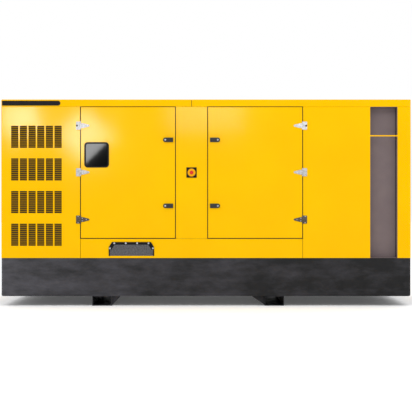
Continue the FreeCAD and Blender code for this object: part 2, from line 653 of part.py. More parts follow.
def strap(x_hinge, sign, z):
    """A hinge strap on the door: a plate that tapers to a round tip, with the middle knuckle."""
    thick = HINGE_LEAF[2]
    half = STRAP_HEIGHT / 2
    x_tip = x_hinge + sign * (STRAP_LENGTH - STRAP_TIP_RADIUS)
    x_root = x_hinge + sign * (DOOR_GAP / 2 + 1.0)
    x_wide = x_hinge + sign * STRAP_LENGTH * 0.36
    outline = [(x_root, z - half), (x_wide, z - half + 3.0), (x_tip, z - STRAP_TIP_RADIUS),
               (x_tip, z + STRAP_TIP_RADIUS), (x_wide, z + half - 3.0), (x_root, z + half)]
    if sign < 0:
        outline.reverse()
    leaf = plate(outline, FRONT - thick, FRONT)
    leaf = leaf.fuse(cylinder(STRAP_TIP_RADIUS, thick, V(x_tip, FRONT - thick, z), V(0, 1, 0)))
    pin_line = V(x_hinge, HINGE_Y, z - half)
    knuckle = cylinder(KNUCKLE_RADIUS, STRAP_HEIGHT, pin_line, V(0, 0, 1))
    web = box(*sorted((x_hinge, x_root + sign * thick)), FRONT - 2 * thick, FRONT - thick, z - half, z + half)
    bore = cylinder(PIN_RADIUS + RUN, STRAP_HEIGHT, pin_line, V(0, 0, 1))
    return leaf.multiFuse([web, knuckle]).cut(bore).removeSplitter()


def frame_leaf(x_hinge, sign, z):
    """The leaf on the fixed panel with its two end knuckles, and the pin."""
    width, height, thick = HINGE_LEAF
    root = KNUCKLE_RADIUS + 1.0
    x0, x1 = sorted((x_hinge - sign * root, x_hinge - sign * (root + width)))
    leaf = rounded_box(x0, x1, z - height / 2, z + height / 2, FRONT - thick, FRONT, 6.0)
    end = (height - STRAP_HEIGHT) / 2 - 0.5
    pieces = []
    inner_x = x_hinge - sign * (root + 2 * thick)
    for z0 in (z - height / 2, z + height / 2 - end):
        pieces.append(cylinder(KNUCKLE_RADIUS, end, V(x_hinge, HINGE_Y, z0), V(0, 0, 1)))
        pieces.append(box(*sorted((x_hinge, inner_x)), FRONT - 2 * thick, FRONT - thick, z0, z0 + end))
    leaf = leaf.multiFuse(pieces)
    leaf = leaf.cut(cylinder(PIN_RADIUS + RUN, height, V(x_hinge, HINGE_Y, z - height / 2), V(0, 0, 1)))
    pin = cylinder(PIN_RADIUS, height, V(x_hinge, HINGE_Y, z - height / 2), V(0, 0, 1))
    head = cylinder(KNUCKLE_RADIUS - 1.0, 2.0, V(x_hinge, HINGE_Y, z + height / 2), V(0, 0, 1))
    return [leaf.removeSplitter(), pin.fuse(head).removeSplitter()]


def lock_axis(x_hinge, x_free, z):
    """Where a lock's spindle passes the skin: its round end lies away from the door's free edge."""
    sign = 1 if x_free > x_hinge else -1
    return V(x_free - sign * (LOCK_EDGE + LOCK_LENGTH - LOCK_HEIGHT / 2), FRONT, z)


def lock_bar(key, sign, inset, y0, y1):
    """A bar with one round end at the lock's axis and one square end towards the door's edge."""
    half = LOCK_HEIGHT / 2 - inset
    x_square = key.x + sign * (LOCK_LENGTH - LOCK_HEIGHT / 2 - inset)
    bar = box(*sorted((key.x, x_square)), y0, y1, key.z - half, key.z + half)
    return bar.fuse(cylinder(half, y1 - y0, V(key.x, y0, key.z), V(0, 1, 0))).removeSplitter()


def lock_plate(x_hinge, x_free, z):
    key = lock_axis(x_hinge, x_free, z)
    sign = 1 if x_free > x_hinge else -1
    body = lock_bar(key, sign, 0.0, FRONT - LOCK_PLATE, FRONT)
    return body.cut(cylinder(SPINDLE_RADIUS + 1.0, LOCK_PLATE, V(key.x, FRONT - LOCK_PLATE, key.z), V(0, 1, 0)))


def lock_lever(x_hinge, x_free, z):
    """The lever with its key cylinder, the spindle behind it and the cam behind the door's flange."""
    key = lock_axis(x_hinge, x_free, z)
    sign = 1 if x_free > x_hinge else -1
    y_back = FRONT - LOCK_PLATE - TOUCH
    y_face = FRONT - LOCK_PLATE - LOCK_LEVER + KEY_DEPTH
    lever = lock_bar(key, sign, LEVER_INSET, y_face, y_back)
    x_end = key.x + sign * (LOCK_LENGTH - LOCK_HEIGHT / 2 - LEVER_INSET)
    lever = lever.makeFillet(6.0, edges_at(lever, x=x_end, y=y_face))
    cylinder_face = cylinder(KEY_RADIUS, KEY_DEPTH, V(key.x, y_face - KEY_DEPTH, key.z), V(0, 1, 0))
    cam_y = FRONT + CAM_DEPTH
    spindle = cylinder(SPINDLE_RADIUS, cam_y - y_back, V(key.x, y_back, key.z), V(0, 1, 0))
    tip = key.x + sign * CAM_LENGTH
    cam = box(*sorted((key.x - sign * CAM_WIDTH / 2, tip)), cam_y, cam_y + CAM_THICK,
              key.z - CAM_WIDTH / 2, key.z + CAM_WIDTH / 2)
    return [lever, cylinder_face, spindle, cam]


DOORS = {"front_left": (X_DOOR1, X_POST1, False), "front_right": (X_DOOR2, X_POST2, False),
         "rear_left": (X_DOOR1, X_POST1, True), "rear_right": (X_DOOR2, X_POST2, True)}


def build_doors():
    leaves = []
    for name, (x_hinge, x_free, at_rear) in DOORS.items():
        sign = 1 if x_free > x_hinge else -1
        place = rear if at_rear else (lambda shape: shape)
        node(name + "_door", [place(door_skin(x_hinge, x_free, name == "front_left"))])
        node(name + "_hinge_straps", [place(strap(x_hinge, sign, z)) for z in HINGE_Z])
        for z in HINGE_Z:
            leaves += [place(s) for s in frame_leaf(x_hinge, sign, z)]
        node(name + "_lock_plates", [place(lock_plate(x_hinge, x_free, z)) for z in LOCK_Z.values()])
        for level, z in LOCK_Z.items():
            node(f"{name}_{level}_lever", [place(s) for s in lock_lever(x_hinge, x_free, z)])
    node("frame_hinge_leaves", leaves)
    seal, glass = window_parts()
    node("window_seal", [seal])
    node("window_glass", [glass])


# ---------------------------------------------------------------- emergency stop and cable outlet
def build_estop():
    z = WALL_TOP - ESTOP_DROP
    half = ESTOP_BOX / 2
    y_face = FRONT - ESTOP_BOX_THICK
    case = rounded_box(POST_MID_X - half, POST_MID_X + half, z - half, z + half, y_face, FRONT, 5.0)
    case = case.cut(cylinder(ESTOP_STEM_RADIUS + RUN, ESTOP_BOX_THICK, V(POST_MID_X, y_face, z), V(0, 1, 0)))
    node("estop_box", [case])
    y_head = y_face - ESTOP_LEGEND - ESTOP_TRAVEL - 1.0
    head = cylinder(ESTOP_HEAD_RADIUS, ESTOP_HEAD, V(POST_MID_X, y_head - ESTOP_HEAD, z), V(0, 1, 0))
    rim = edges_at(head, y=y_head - ESTOP_HEAD)
    head = head.makeFillet(5.0, rim)
    stem_length = FRONT - ESTOP_TRAVEL - 1.0 - y_head
    stem = cylinder(ESTOP_STEM_RADIUS, stem_length, V(POST_MID_X, y_head, z), V(0, 1, 0))
    node("estop_button", [head.fuse(stem).removeSplitter()])


def cable_frame_box():
    x0 = X_DOOR1 + OUTLET_FRAME_OFFSET
    z0 = BASE_TOP + OUTLET_FRAME_BOTTOM
    return x0, x0 + OUTLET_FRAME_WIDTH, z0, z0 + OUTLET_FRAME_HEIGHT


def cable_hole():
    """The hole in the sill, inside the clamping frame and above the frame's rail: x0, x1, bottom, top."""
    x0, x1, _, z1 = cable_frame_box()
    return (x0 + OUTLET_CHAMFER[0] + OUTLET_BAR, x1 - OUTLET_CHAMFER[0] - OUTLET_BAR, BASE_TOP + TUBE + SHEET,
            z1 - OUTLET_BAR - OUTLET_HOLE_LIP)


def arch(inset_side, inset_top, bottom):
    """The outline of the cable outlet: square below, with its two upper corners cut off."""
    x0, x1, z0, z1 = cable_frame_box()
    dx, dz = OUTLET_CHAMFER
    x0 += inset_side
    x1 -= inset_side
    z1 -= inset_top
    return [(x0, z0 + bottom), (x1, z0 + bottom), (x1, z1 - dz), (x1 - dx, z1), (x0 + dx, z1), (x0, z1 - dz)]


def build_cable_outlet():
    x0, x1, z0, z1 = cable_frame_box()
    y_face = FRONT - OUTLET_FRAME_THICK
    frame = plate(arch(0.0, 0.0, 0.0), y_face, FRONT)
    upper = plate(arch(OUTLET_BAR, OUTLET_BAR, -SHEET), y_face, FRONT)
    step_z = z1 - OUTLET_CHAMFER[1] - OUTLET_BAR
    lower = box(x0 + OUTLET_SIDE_BAR, x1 - OUTLET_SIDE_BAR, y_face, FRONT, z0 - SHEET, step_z)
    frame = frame.cut(upper.fuse(lower).removeSplitter())
    bolts = []
    spacing = (OUTLET_FRAME_WIDTH - 2 * (OUTLET_CHAMFER[0] + OUTLET_BAR)) / 3
    places = [(x0 + OUTLET_CHAMFER[0] + OUTLET_BAR + i * spacing, z1 - OUTLET_BAR / 2) for i in range(4)]
    side_z = z1 - OUTLET_CHAMFER[1] - OUTLET_BAR / 2
    places += [(x0 + OUTLET_BAR / 2, side_z), (x1 - OUTLET_BAR / 2, side_z)]
    for x, z in places:
        bolts.append(cylinder(BOLT_RADIUS, BOLT_HEAD, V(x, y_face - BOLT_HEAD, z), V(0, 1, 0)))
    node("cable_outlet_frame", [frame] + bolts)
    gap = FLAP_CLEARANCE
    y_flap = y_face + SHEET - TOUCH
    flap = plate(arch(OUTLET_BAR + gap, OUTLET_BAR + gap, gap), y_flap, y_flap + FLAP_THICK)
    skirt = box(x0 + OUTLET_SIDE_BAR + gap, x1 - OUTLET_SIDE_BAR - gap, y_flap, y_flap + FLAP_THICK, z0 + gap,
                step_z - gap)
    node("cable_flap", [flap.fuse(skirt).removeSplitter()])


# ---------------------------------------------------------------- engine and generator
AXIS_X = V(1, 0, 0)
X_BLOCK = COUPLING_X + BELL_LENGTH
X_BLOCK_END = X_BLOCK + BLOCK_LENGTH
X_STATOR = COUPLING_X - STATOR_LENGTH
X_FAN = X_BLOCK_END + PULLEY_WIDTH + 2 * TUBE
X_SHROUD = X_FAN - FAN_DEPTH / 2
X_RADIATOR = X_SHROUD + SHROUD_LENGTH
FAN_Z = CRANK_Z + FAN_RISE
BLOCK_TOP = CRANK_Z + BLOCK_ABOVE
HEAD_TOP = BLOCK_TOP + HEAD_HEIGHT
SUMP_TOP = CRANK_Z - BLOCK_BELOW
RAIL_TOP = BASE_TOP + RAIL_HEIGHT
RAIL_Y = BLOCK_WIDTH / 2 + RAIL_WIDTH
TAIL_TOP = ROOF_TOP - CAP_BELOW_ROOF - CAP_THICK
CAP_PIN_X = TAIL_X + PIPE_RADIUS + CAP_REACH
CAP_PIN_Z = TAIL_TOP + TOUCH + CAP_THICK / 2


def on_axis(x, z=CRANK_Z):
    return V(x, 0, z)


def engine_block():
    half = BLOCK_WIDTH / 2
    block = box(X_BLOCK, X_BLOCK_END, -half, half, SUMP_TOP, BLOCK_TOP)
    sides = [e for y in (-half, half) for e in edges_at(block, y=y, z=BLOCK_TOP)]
    block = block.makeFillet(2 * BLOCK_WALL, sides)
    hollow = box(X_BLOCK + BLOCK_WALL, X_BLOCK_END - BLOCK_WALL, -half + BLOCK_WALL, half - BLOCK_WALL,
                 SUMP_TOP, BLOCK_TOP - 2 * BLOCK_WALL)
    shaft = cylinder(SHAFT_RADIUS + RUN, BLOCK_LENGTH, on_axis(X_BLOCK), AXIS_X)
    block = block.cut(hollow).cut(shaft)
    rib_width = BLOCK_LENGTH / (2 * CYLINDERS + 1)
    ribs = []
    for i in range(CYLINDERS):
        x = X_BLOCK + (2 * i + 1) * rib_width
        for side in (-1, 1):
            y = side * half
            ribs.append(box(x, x + rib_width, min(y, y + side * 12.0), max(y, y + side * 12.0),
                            SUMP_TOP + BLOCK_WALL, CRANK_Z + BLOCK_WALL))
    return block.multiFuse(ribs).removeSplitter()


def cylinder_head():
    """The head, with one rocker cover over each cylinder as a piece of its own."""
    half = HEAD_WIDTH / 2
    solids = [box(X_BLOCK, X_BLOCK_END, -half, half, BLOCK_TOP, HEAD_TOP).cut(
        box(X_BLOCK + BLOCK_WALL, X_BLOCK_END - BLOCK_WALL, -half + BLOCK_WALL, half - BLOCK_WALL,
            BLOCK_TOP, HEAD_TOP - BLOCK_WALL))]
    pitch = BLOCK_LENGTH / CYLINDERS
    length, width, height = ROCKER_COVER
    for i in range(CYLINDERS):
        x = X_BLOCK + (i + 0.5) * pitch
        cover = box(x - length / 2, x + length / 2, -width / 2, width / 2, HEAD_TOP, HEAD_TOP + height)
        upright = []
        for side in (-width / 2, width / 2):
            upright += edges_at(cover, x=x - length / 2, y=side) + edges_at(cover, x=x + length / 2, y=side)
        cover = cover.makeFillet(30.0, upright)
        solids.append(cover)
    return solids


def oil_sump():
    half = SUMP_WIDTH / 2
    z0 = SUMP_TOP - SUMP_HEIGHT
    x0 = X_BLOCK + BLOCK_WALL
    x1 = X_BLOCK_END - BLOCK_WALL
    sump = box(x0, x1, -half, half, z0, SUMP_TOP)
    bottom = [e for y in (-half, half) for e in edges_at(sump, y=y, z=z0)]
    sump = sump.makeFillet(8 * SUMP_WALL, bottom)
    return sump.cut(box(x0 + SUMP_WALL, x1 - SUMP_WALL, -half + 6 * SUMP_WALL, half - 6 * SUMP_WALL,
                        z0 + SUMP_WALL, SUMP_TOP))


def flywheel_housing():
    bell = cylinder(BELL_RADIUS, BELL_LENGTH, on_axis(COUPLING_X), AXIS_X)
    cavity = cylinder(BELL_RADIUS - BELL_WALL, BELL_LENGTH - BELL_WALL, on_axis(COUPLING_X), AXIS_X)
    return bell.cut(cavity).cut(cylinder(SHAFT_RADIUS + RUN, BELL_LENGTH, on_axis(COUPLING_X), AXIS_X))


def stator():
    """The generator's housing with its feet, its end bell and the terminal box on top."""
    outer = cylinder(STATOR_RADIUS, STATOR_LENGTH, on_axis(X_STATOR), AXIS_X)
    bore_start = on_axis(X_STATOR + STATOR_WALL)
    bore = cylinder(STATOR_RADIUS - STATOR_WALL, STATOR_LENGTH - STATOR_WALL, bore_start, AXIS_X)
    bearing = cylinder(SHAFT_RADIUS + RUN, STATOR_WALL, on_axis(X_STATOR), AXIS_X)
    housing = outer.cut(bore).cut(bearing)
    foot_z = RAIL_TOP + MOUNT_HEIGHT
    feet = []
    for x in (X_STATOR + 2 * STATOR_WALL, COUPLING_X - 2 * STATOR_WALL - FOOT_LENGTH):
        for side in (-1, 1):
            y0, y1 = sorted((side * STATOR_RADIUS * 0.62, side * (RAIL_Y + RAIL_WIDTH / 2)))
            web = box(x, x + FOOT_LENGTH, y0, y1, foot_z, foot_z + FOOT_PLATE)
            rise = sorted((side * STATOR_RADIUS * 0.62, side * (STATOR_RADIUS * 0.62 + FOOT_PLATE)))
            feet.append(web.fuse(box(x, x + FOOT_LENGTH, *rise, foot_z, CRANK_Z - STATOR_RADIUS * 0.5)))
    inner = cylinder(STATOR_RADIUS - STATOR_WALL / 2, STATOR_LENGTH, on_axis(X_STATOR), AXIS_X)
    feet = [f.cut(inner) for f in feet]
    housing = housing.multiFuse(feet).removeSplitter()
    top = CRANK_Z + STATOR_RADIUS
    terminal = box(X_STATOR + STATOR_WALL, X_STATOR + STATOR_LENGTH * 0.6, -210.0, 210.0,
                   top - STATOR_WALL, top + 3 * STATOR_WALL).cut(outer)
    return [housing, terminal]


def crankshaft():
    """Crankshaft, pulley, flywheel and rotor, which all turn together, as separate solids."""
    x_front = X_BLOCK_END + PULLEY_WIDTH + TOUCH
    shaft = cylinder(SHAFT_RADIUS, x_front - X_STATOR, on_axis(X_STATOR), AXIS_X)
    shaft_hole = cylinder(SHAFT_RADIUS, x_front - X_STATOR, on_axis(X_STATOR), AXIS_X)
    pulley = cylinder(PULLEY_RADIUS, PULLEY_WIDTH, on_axis(X_BLOCK_END + TOUCH), AXIS_X)
    pulley = pulley.cut(groove(PULLEY_RADIUS, X_BLOCK_END + TOUCH, PULLEY_WIDTH, CRANK_Z)).cut(shaft_hole)
    flywheel = cylinder(FLYWHEEL_RADIUS, FLYWHEEL_THICK, on_axis(COUPLING_X + BELL_WALL), AXIS_X)
    flywheel = flywheel.cut(shaft_hole)
    rotor_radius = STATOR_RADIUS - STATOR_WALL - ROTOR_GAP
    rotor = tube(rotor_radius, 2 * STATOR_WALL, STATOR_LENGTH - 4 * STATOR_WALL,
                 on_axis(X_STATOR + 2 * STATOR_WALL), AXIS_X)
    spider = cylinder(rotor_radius - 2 * STATOR_WALL, STATOR_WALL,
                      on_axis(X_STATOR + STATOR_LENGTH / 2), AXIS_X).cut(shaft_hole)
    return [shaft, pulley, flywheel, rotor.fuse(spider).removeSplitter()]


def groove(radius, x0, width, z):
    """The ring cut out of a pulley's rim for the belt."""
    depth = 10.0
    ring = cylinder(radius, width / 2, V(x0 + width / 4, 0, z), AXIS_X)
    return ring.cut(cylinder(radius - depth, width / 2, V(x0 + width / 4, 0, z), AXIS_X))


def fan():
    """Hub, pulley and blades, which turn on a stub shaft above the crankshaft."""
    start = X_BLOCK_END + TOUCH
    pulley = cylinder(FAN_PULLEY_RADIUS, PULLEY_WIDTH, V(start, 0, FAN_Z), AXIS_X)
    pulley = pulley.cut(groove(FAN_PULLEY_RADIUS, start, PULLEY_WIDTH, FAN_Z))
    neck_start = start + PULLEY_WIDTH
    neck = cylinder(SHAFT_RADIUS, X_FAN - FAN_DEPTH / 2 - neck_start, V(neck_start, 0, FAN_Z), AXIS_X)
    hub = cylinder(FAN_HUB_RADIUS, FAN_DEPTH, V(X_FAN - FAN_DEPTH / 2, 0, FAN_Z), AXIS_X)
    solids = [pulley.multiFuse([neck, hub]).removeSplitter()]
    root = FAN_HUB_RADIUS
    for i in range(FAN_BLADES):
        blade = box(-4.0, 4.0, -65.0, 65.0, root, FAN_RADIUS)
        blade.rotate(V(0, 0, 0), V(0, 0, 1), 55.0)
        clip = box(-FAN_DEPTH / 2, FAN_DEPTH / 2, -200.0, 200.0, 0.0, FAN_RADIUS)
        blade = blade.common(clip)
        blade.translate(V(X_FAN, 0, FAN_Z))
        blade.rotate(V(X_FAN, 0, FAN_Z), AXIS_X, i * 360.0 / FAN_BLADES)
        outer = cylinder(FAN_RADIUS, 4 * FAN_DEPTH, V(X_FAN - 2 * FAN_DEPTH, 0, FAN_Z), AXIS_X)
        solids.append(blade.common(outer).cut(hub))
    return solids


def radiator():
    """The core between its top and bottom tanks, the side plates and the filler neck."""
    half = RADIATOR_WIDTH / 2
    z0 = BASE_TOP
    z1 = BASE_TOP + RADIATOR_HEIGHT
    x0 = X_RADIATOR
    x1 = x0 + RADIATOR_THICK
    cheek = 30.0
    core = box(x0 + RADIATOR_CORE_INSET, x1 - RADIATOR_CORE_INSET, -half + cheek, half - cheek,
               z0 + RADIATOR_TANK, z1 - RADIATOR_TANK)
    bottom = box(x0, x1, -half, half, z0, z0 + RADIATOR_TANK)
    top = box(x0, x1, -half, half, z1 - RADIATOR_TANK, z1)
    top = top.fuse(cylinder(35.0, 40.0, V((x0 + x1) / 2, half - 150.0, z1), V(0, 0, 1))).removeSplitter()
    solids = [core, bottom, top]
    for side in (-1, 1):
        y0, y1 = sorted((side * half, side * (half - cheek)))
        solids.append(box(x0, x1, y0, y1, z0 + RADIATOR_TANK, z1 - RADIATOR_TANK))
    return solids


def fan_shroud():
    """A square plate on the radiator with a round collar about the fan."""
    half = RADIATOR_WIDTH / 2
    x_plate = X_RADIATOR - SHROUD_WALL
    z0 = BASE_TOP + RADIATOR_TANK
    z1 = BASE_TOP + RADIATOR_HEIGHT - RADIATOR_TANK
    flat = box(x_plate, X_RADIATOR, -half, half, z0, z1)
    radius = FAN_RADIUS + 20.0
    flat = flat.cut(cylinder(radius, 2 * SHROUD_WALL, V(x_plate - SHROUD_WALL, 0, FAN_Z), AXIS_X))
    collar_start = V(X_RADIATOR - SHROUD_LENGTH, 0, FAN_Z)
    collar = tube(radius + SHROUD_WALL, SHROUD_WALL, SHROUD_LENGTH, collar_start, AXIS_X)
    return flat.fuse(collar).removeSplitter()


def pipe_run(points, radius, wall, bend):
    """A bent pipe along straight runs joined by arcs of one bend radius."""
    edges = []
    start = points[0]
    for i in range(1, len(points) - 1):
        before, corner, after = points[i - 1], points[i], points[i + 1]
        into = (before - corner).normalize()
        out = (after - corner).normalize()
        angle = into.getAngle(out)
        reach = bend / math.tan(angle / 2)
        a = corner + into * reach
        b = corner + out * reach
        middle = (into + out).normalize()
        centre = corner + middle * (bend / math.sin(angle / 2))
        edges.append(Part.LineSegment(start, a).toShape())
        edges.append(Part.Arc(a, centre - middle * bend, b).toShape())
        start = b
    edges.append(Part.LineSegment(start, points[-1]).toShape())
    path = Part.Wire(edges)
    direction = (points[1] - points[0]).normalize()
    rings = []
    for r in (radius, radius - wall):
        profile = Part.Wire([Part.makeCircle(r, points[0], direction)])
        rings.append(path.makePipeShell([profile], True, False))
    return rings[0].cut(rings[1])


def silencer():
    """The silencer's drum, the pipe from the turbocharger to it and the tail pipe up to the roof."""
    z = SILENCER_Z
    x0 = TAIL_X - 250.0 - SILENCER_LENGTH
    drum = cylinder(SILENCER_RADIUS, SILENCER_LENGTH, V(x0, 0, z), AXIS_X)
    ends = [e for e in drum.Edges if e.Length > SILENCER_RADIUS * 6]
    drum = drum.makeFillet(30.0, ends)
    end_wall = 60.0
    drum = drum.cut(cylinder(SILENCER_RADIUS - 2 * PIPE_WALL, SILENCER_LENGTH - 2 * end_wall,
                             V(x0 + end_wall, 0, z), AXIS_X))
    bend = 1.6 * PIPE_RADIUS
    inlet = pipe_run([V(TURBO_X, -turbo_y(), HEAD_TOP + 2 * PIPE_RADIUS + 90.0), V(TURBO_X, -turbo_y(), z),
                      V(TURBO_X, 0, z), V(x0, 0, z)], PIPE_RADIUS, PIPE_WALL, bend)
    tail = pipe_run([V(x0 + SILENCER_LENGTH, 0, z), V(TAIL_X, 0, z), V(TAIL_X, 0, TAIL_TOP)],
                    PIPE_RADIUS, PIPE_WALL, bend)
    tail = tail.multiFuse(cap_ears()).removeSplitter()
    hangers = []
    for x in (x0 + 180.0, x0 + SILENCER_LENGTH - 180.0):
        strap_ring = tube(SILENCER_RADIUS + 5.0, 5.0, 40.0, V(x, 0, z), AXIS_X)
        bar = square_tube(x, x + 40.0, FRAME_INNER_Y, -FRAME_INNER_Y, z + SILENCER_RADIUS + 5.0,
                          z + SILENCER_RADIUS + 45.0, TUBE_WALL, "y")
        hangers.append(strap_ring)
        hangers.append(bar)
    return [drum, inlet, tail] + hangers


def cap_ears():
    """The two ears on the tail pipe that hold the pin of its flap, cut away under the flap's edge."""
    x_pipe = TAIL_X + PIPE_RADIUS - 1.5 * PIPE_WALL
    x_end = CAP_PIN_X + CAP_BARREL_RADIUS
    x_step = CAP_PIN_X - CAP_BARREL_RADIUS - 2.0
    z_low = CAP_PIN_Z - 3 * CAP_BARREL_RADIUS
    z_step = TAIL_TOP - 2.0
    z_high = CAP_PIN_Z + CAP_BARREL_RADIUS
    outline = [(x_pipe, z_low), (x_end, z_low), (x_end, z_high),
               (x_step, z_high), (x_step, z_step), (x_pipe, z_step)]
    y_ear = CAP_BARREL / 2 + 1.0
    ears = [plate(outline, y_ear, y_ear + CAP_EAR), plate(outline, -y_ear - CAP_EAR, -y_ear)]
    pin = cylinder(CAP_PIN_RADIUS, 2 * (y_ear + CAP_EAR), V(CAP_PIN_X, -y_ear - CAP_EAR, CAP_PIN_Z), V(0, 1, 0))
    return ears + [pin]


def turbo_y():
    return HEAD_WIDTH / 2 + 70.0


def turbocharger():
    """Exhaust manifold along the head, the turbine on it and the compressor beside it."""
    y = -turbo_y()
    z = HEAD_TOP
    manifold_z = BLOCK_TOP + HEAD_HEIGHT / 2
    log = cylinder(38.0, BLOCK_LENGTH - 240.0, V(X_BLOCK + 120.0, y, manifold_z), AXIS_X)
    pitch = BLOCK_LENGTH / CYLINDERS
    reach = turbo_y() - HEAD_WIDTH / 2
    runners = [cylinder(28.0, reach, V(X_BLOCK + (i + 0.5) * pitch, y, manifold_z), V(0, 1, 0))
               for i in range(CYLINDERS)]
    riser = cylinder(TURBO_RISER_RADIUS, z + 60.0 - manifold_z, V(TURBO_X, y, manifold_z), V(0, 0, 1))
    manifold = log.multiFuse(runners + [riser]).removeSplitter()
    turbine = cylinder(85.0, 80.0, V(TURBO_X - 40.0, y, z + 90.0), AXIS_X)
    throat = cylinder(PIPE_RADIUS, 60.0, V(TURBO_X, y, z + 2 * PIPE_RADIUS + 30.0), V(0, 0, 1))
    turbine = turbine.fuse(throat).removeSplitter().cut(
        cylinder(TURBO_RISER_RADIUS, 60.0, V(TURBO_X, y, z), V(0, 0, 1)))
    centre = cylinder(42.0, 70.0, V(TURBO_X + 40.0, y, z + 90.0), AXIS_X)
    compressor = cylinder(95.0, 75.0, V(TURBO_X + 110.0, y, z + 90.0), AXIS_X)
    return [manifold, turbine, centre, compressor]


def air_filter():
    """A round filter housing beside the head at the back, on two brackets, and its hose to the engine."""
    y = -turbo_y()
    x0 = X_BLOCK + 60.0
    z = HEAD_TOP + 250.0
    drum = cylinder(FILTER_RADIUS, FILTER_LENGTH, V(x0, -y, z), AXIS_X)
    ends = [e for e in drum.Edges if e.Length > FILTER_RADIUS * 6]
    drum = drum.makeFillet(18.0, ends)
    feet = [box(x, x + 50.0, -y - 90.0, -y + 90.0, BLOCK_TOP - 4 * BLOCK_WALL, z)
            for x in (x0 + 60.0, x0 + FILTER_LENGTH - 110.0)]
    feet = [f.cut(box(X_BLOCK, X_BLOCK_END, -HEAD_WIDTH / 2, HEAD_WIDTH / 2 + TOUCH, BLOCK_TOP - BLOCK_WALL, z))
            for f in feet]
    feet = [f.cut(drum).cut(box(X_BLOCK, X_BLOCK_END, -BLOCK_WIDTH / 2, BLOCK_WIDTH / 2, SUMP_TOP, BLOCK_TOP))
            for f in feet]
    feet = [max(f.Solids, key=lambda s: s.Volume) for f in feet]
    return [drum] + feet


def engine_rails():
    """Two bed rails on the base and the rubber mounts that carry the engine and generator."""
    solids = []
    x0 = X_STATOR
    x1 = X_BLOCK_END - BLOCK_WALL
    for side in (-1, 1):
        y0, y1 = sorted((side * (RAIL_Y - RAIL_WIDTH / 2), side * (RAIL_Y + RAIL_WIDTH / 2)))
        solids.append(square_tube(x0, x1, y0, y1, BASE_TOP, RAIL_TOP, RAIL_WALL, "x"))
        for x in mount_places():
            solids.append(cylinder(MOUNT_RADIUS, MOUNT_HEIGHT, V(x, side * RAIL_Y, RAIL_TOP), V(0, 0, 1)))
    foot_z = RAIL_TOP + MOUNT_HEIGHT
    for x in mount_places()[2:]:
        for side in (-1, 1):
            y0, y1 = sorted((side * BLOCK_WIDTH / 2, side * (RAIL_Y + RAIL_WIDTH / 2)))
            shelf = box(x - FOOT_LENGTH / 2, x + FOOT_LENGTH / 2, y0, y1, foot_z, foot_z + FOOT_PLATE)
            w0, w1 = sorted((side * (BLOCK_WIDTH / 2 + 12.0), side * (BLOCK_WIDTH / 2 + 12.0 + FOOT_PLATE)))
            web = box(x - FOOT_LENGTH / 2, x + FOOT_LENGTH / 2, w0, w1, foot_z, CRANK_Z)
            solids.append(shelf.fuse(web).removeSplitter().cut(engine_block_ribs()))
    return solids


def engine_block_ribs():
    """The space of the block and its ribs, which the engine's feet are cut back to."""
    half = BLOCK_WIDTH / 2 + 12.0
    return box(X_BLOCK, X_BLOCK_END, -half, half, SUMP_TOP, BLOCK_TOP)


def mount_places():
    """X of the four pairs of rubber mounts: two under the generator, two under the engine."""
    first = X_STATOR + 2 * STATOR_WALL + FOOT_LENGTH / 2
    second = COUPLING_X - 2 * STATOR_WALL - FOOT_LENGTH / 2
    return [first, second, X_BLOCK + FOOT_LENGTH, X_BLOCK_END - FOOT_LENGTH - BLOCK_WALL]


def batteries():
    """Two starter batteries on the base behind the front right door, each with its two posts."""
    length, width, height = BATTERY
    y0 = FRAME_INNER_Y
    solids = []
    for i in range(2):
        x0 = X_POST2 + BATTERY_INSET + i * (length + BATTERY_GAP)
        case = box(x0, x0 + length, y0, y0 + width, BASE_TOP, BASE_TOP + height)
        solids.append(case)
        for share in (0.15, 0.85):
            post = V(x0 + share * length, y0 + width / 2, BASE_TOP + height)
            solids.append(cylinder(9.0, 18.0, post, V(0, 0, 1)))
    return solids


def control_cabinet():
    """The cabinet on its two legs with the breaker's surround on its face, and the breaker's handle."""
    length, depth, height = CABINET
    x0 = X_DOOR1 + CABINET_LEFT
    y0 = FRAME_INNER_Y + CABINET_BACK
    z0 = WALL_TOP - CABINET_DROP - height
    wall = CABINET_WALL
    cabinet = box(x0, x0 + length, y0, y0 + depth, z0, z0 + height).cut(
        box(x0 + wall, x0 + length - wall, y0 + wall, y0 + depth - wall, z0 + wall, z0 + height - wall))
    solids = [cabinet]
    for x in (x0, x0 + length - CABINET_LEG):
        solids.append(square_tube(x, x + CABINET_LEG, y0 + depth / 2, y0 + depth / 2 + CABINET_LEG,
                                  BASE_TOP, z0, TUBE_WALL, "z"))
    x_mid = x0 + length / 2
    z_mid = z0 + BREAKER_HEIGHT
    width, tall, thick = BREAKER_SURROUND
    surround = box(x_mid - width / 2, x_mid + width / 2, y0 - thick, y0, z_mid - tall / 2, z_mid + tall / 2)
    slot_half = BREAKER_SLOT[0] / 2
    slot = box(x_mid - slot_half, x_mid + slot_half, y0 - thick, y0, z_mid - BREAKER_SLOT[1] / 2,
               z_mid + BREAKER_SLOT[1] / 2)
    solids.append(surround.cut(slot))
    radius = BREAKER_BARREL_RADIUS
    axis = V(x_mid, y0 - radius - TOUCH, z_mid)
    half = slot_half - TOUCH
    barrel = cylinder(radius, 2 * half, axis - V(half, 0, 0), AXIS_X)
    paddle = box(x_mid - half / 2, x_mid + half / 2, axis.y - 3.5 * radius, axis.y, z_mid - radius / 2,
                 z_mid + radius / 2)
    paddle.rotate(axis, AXIS_X, BREAKER_TILT)
    return solids, barrel.fuse(paddle).removeSplitter()


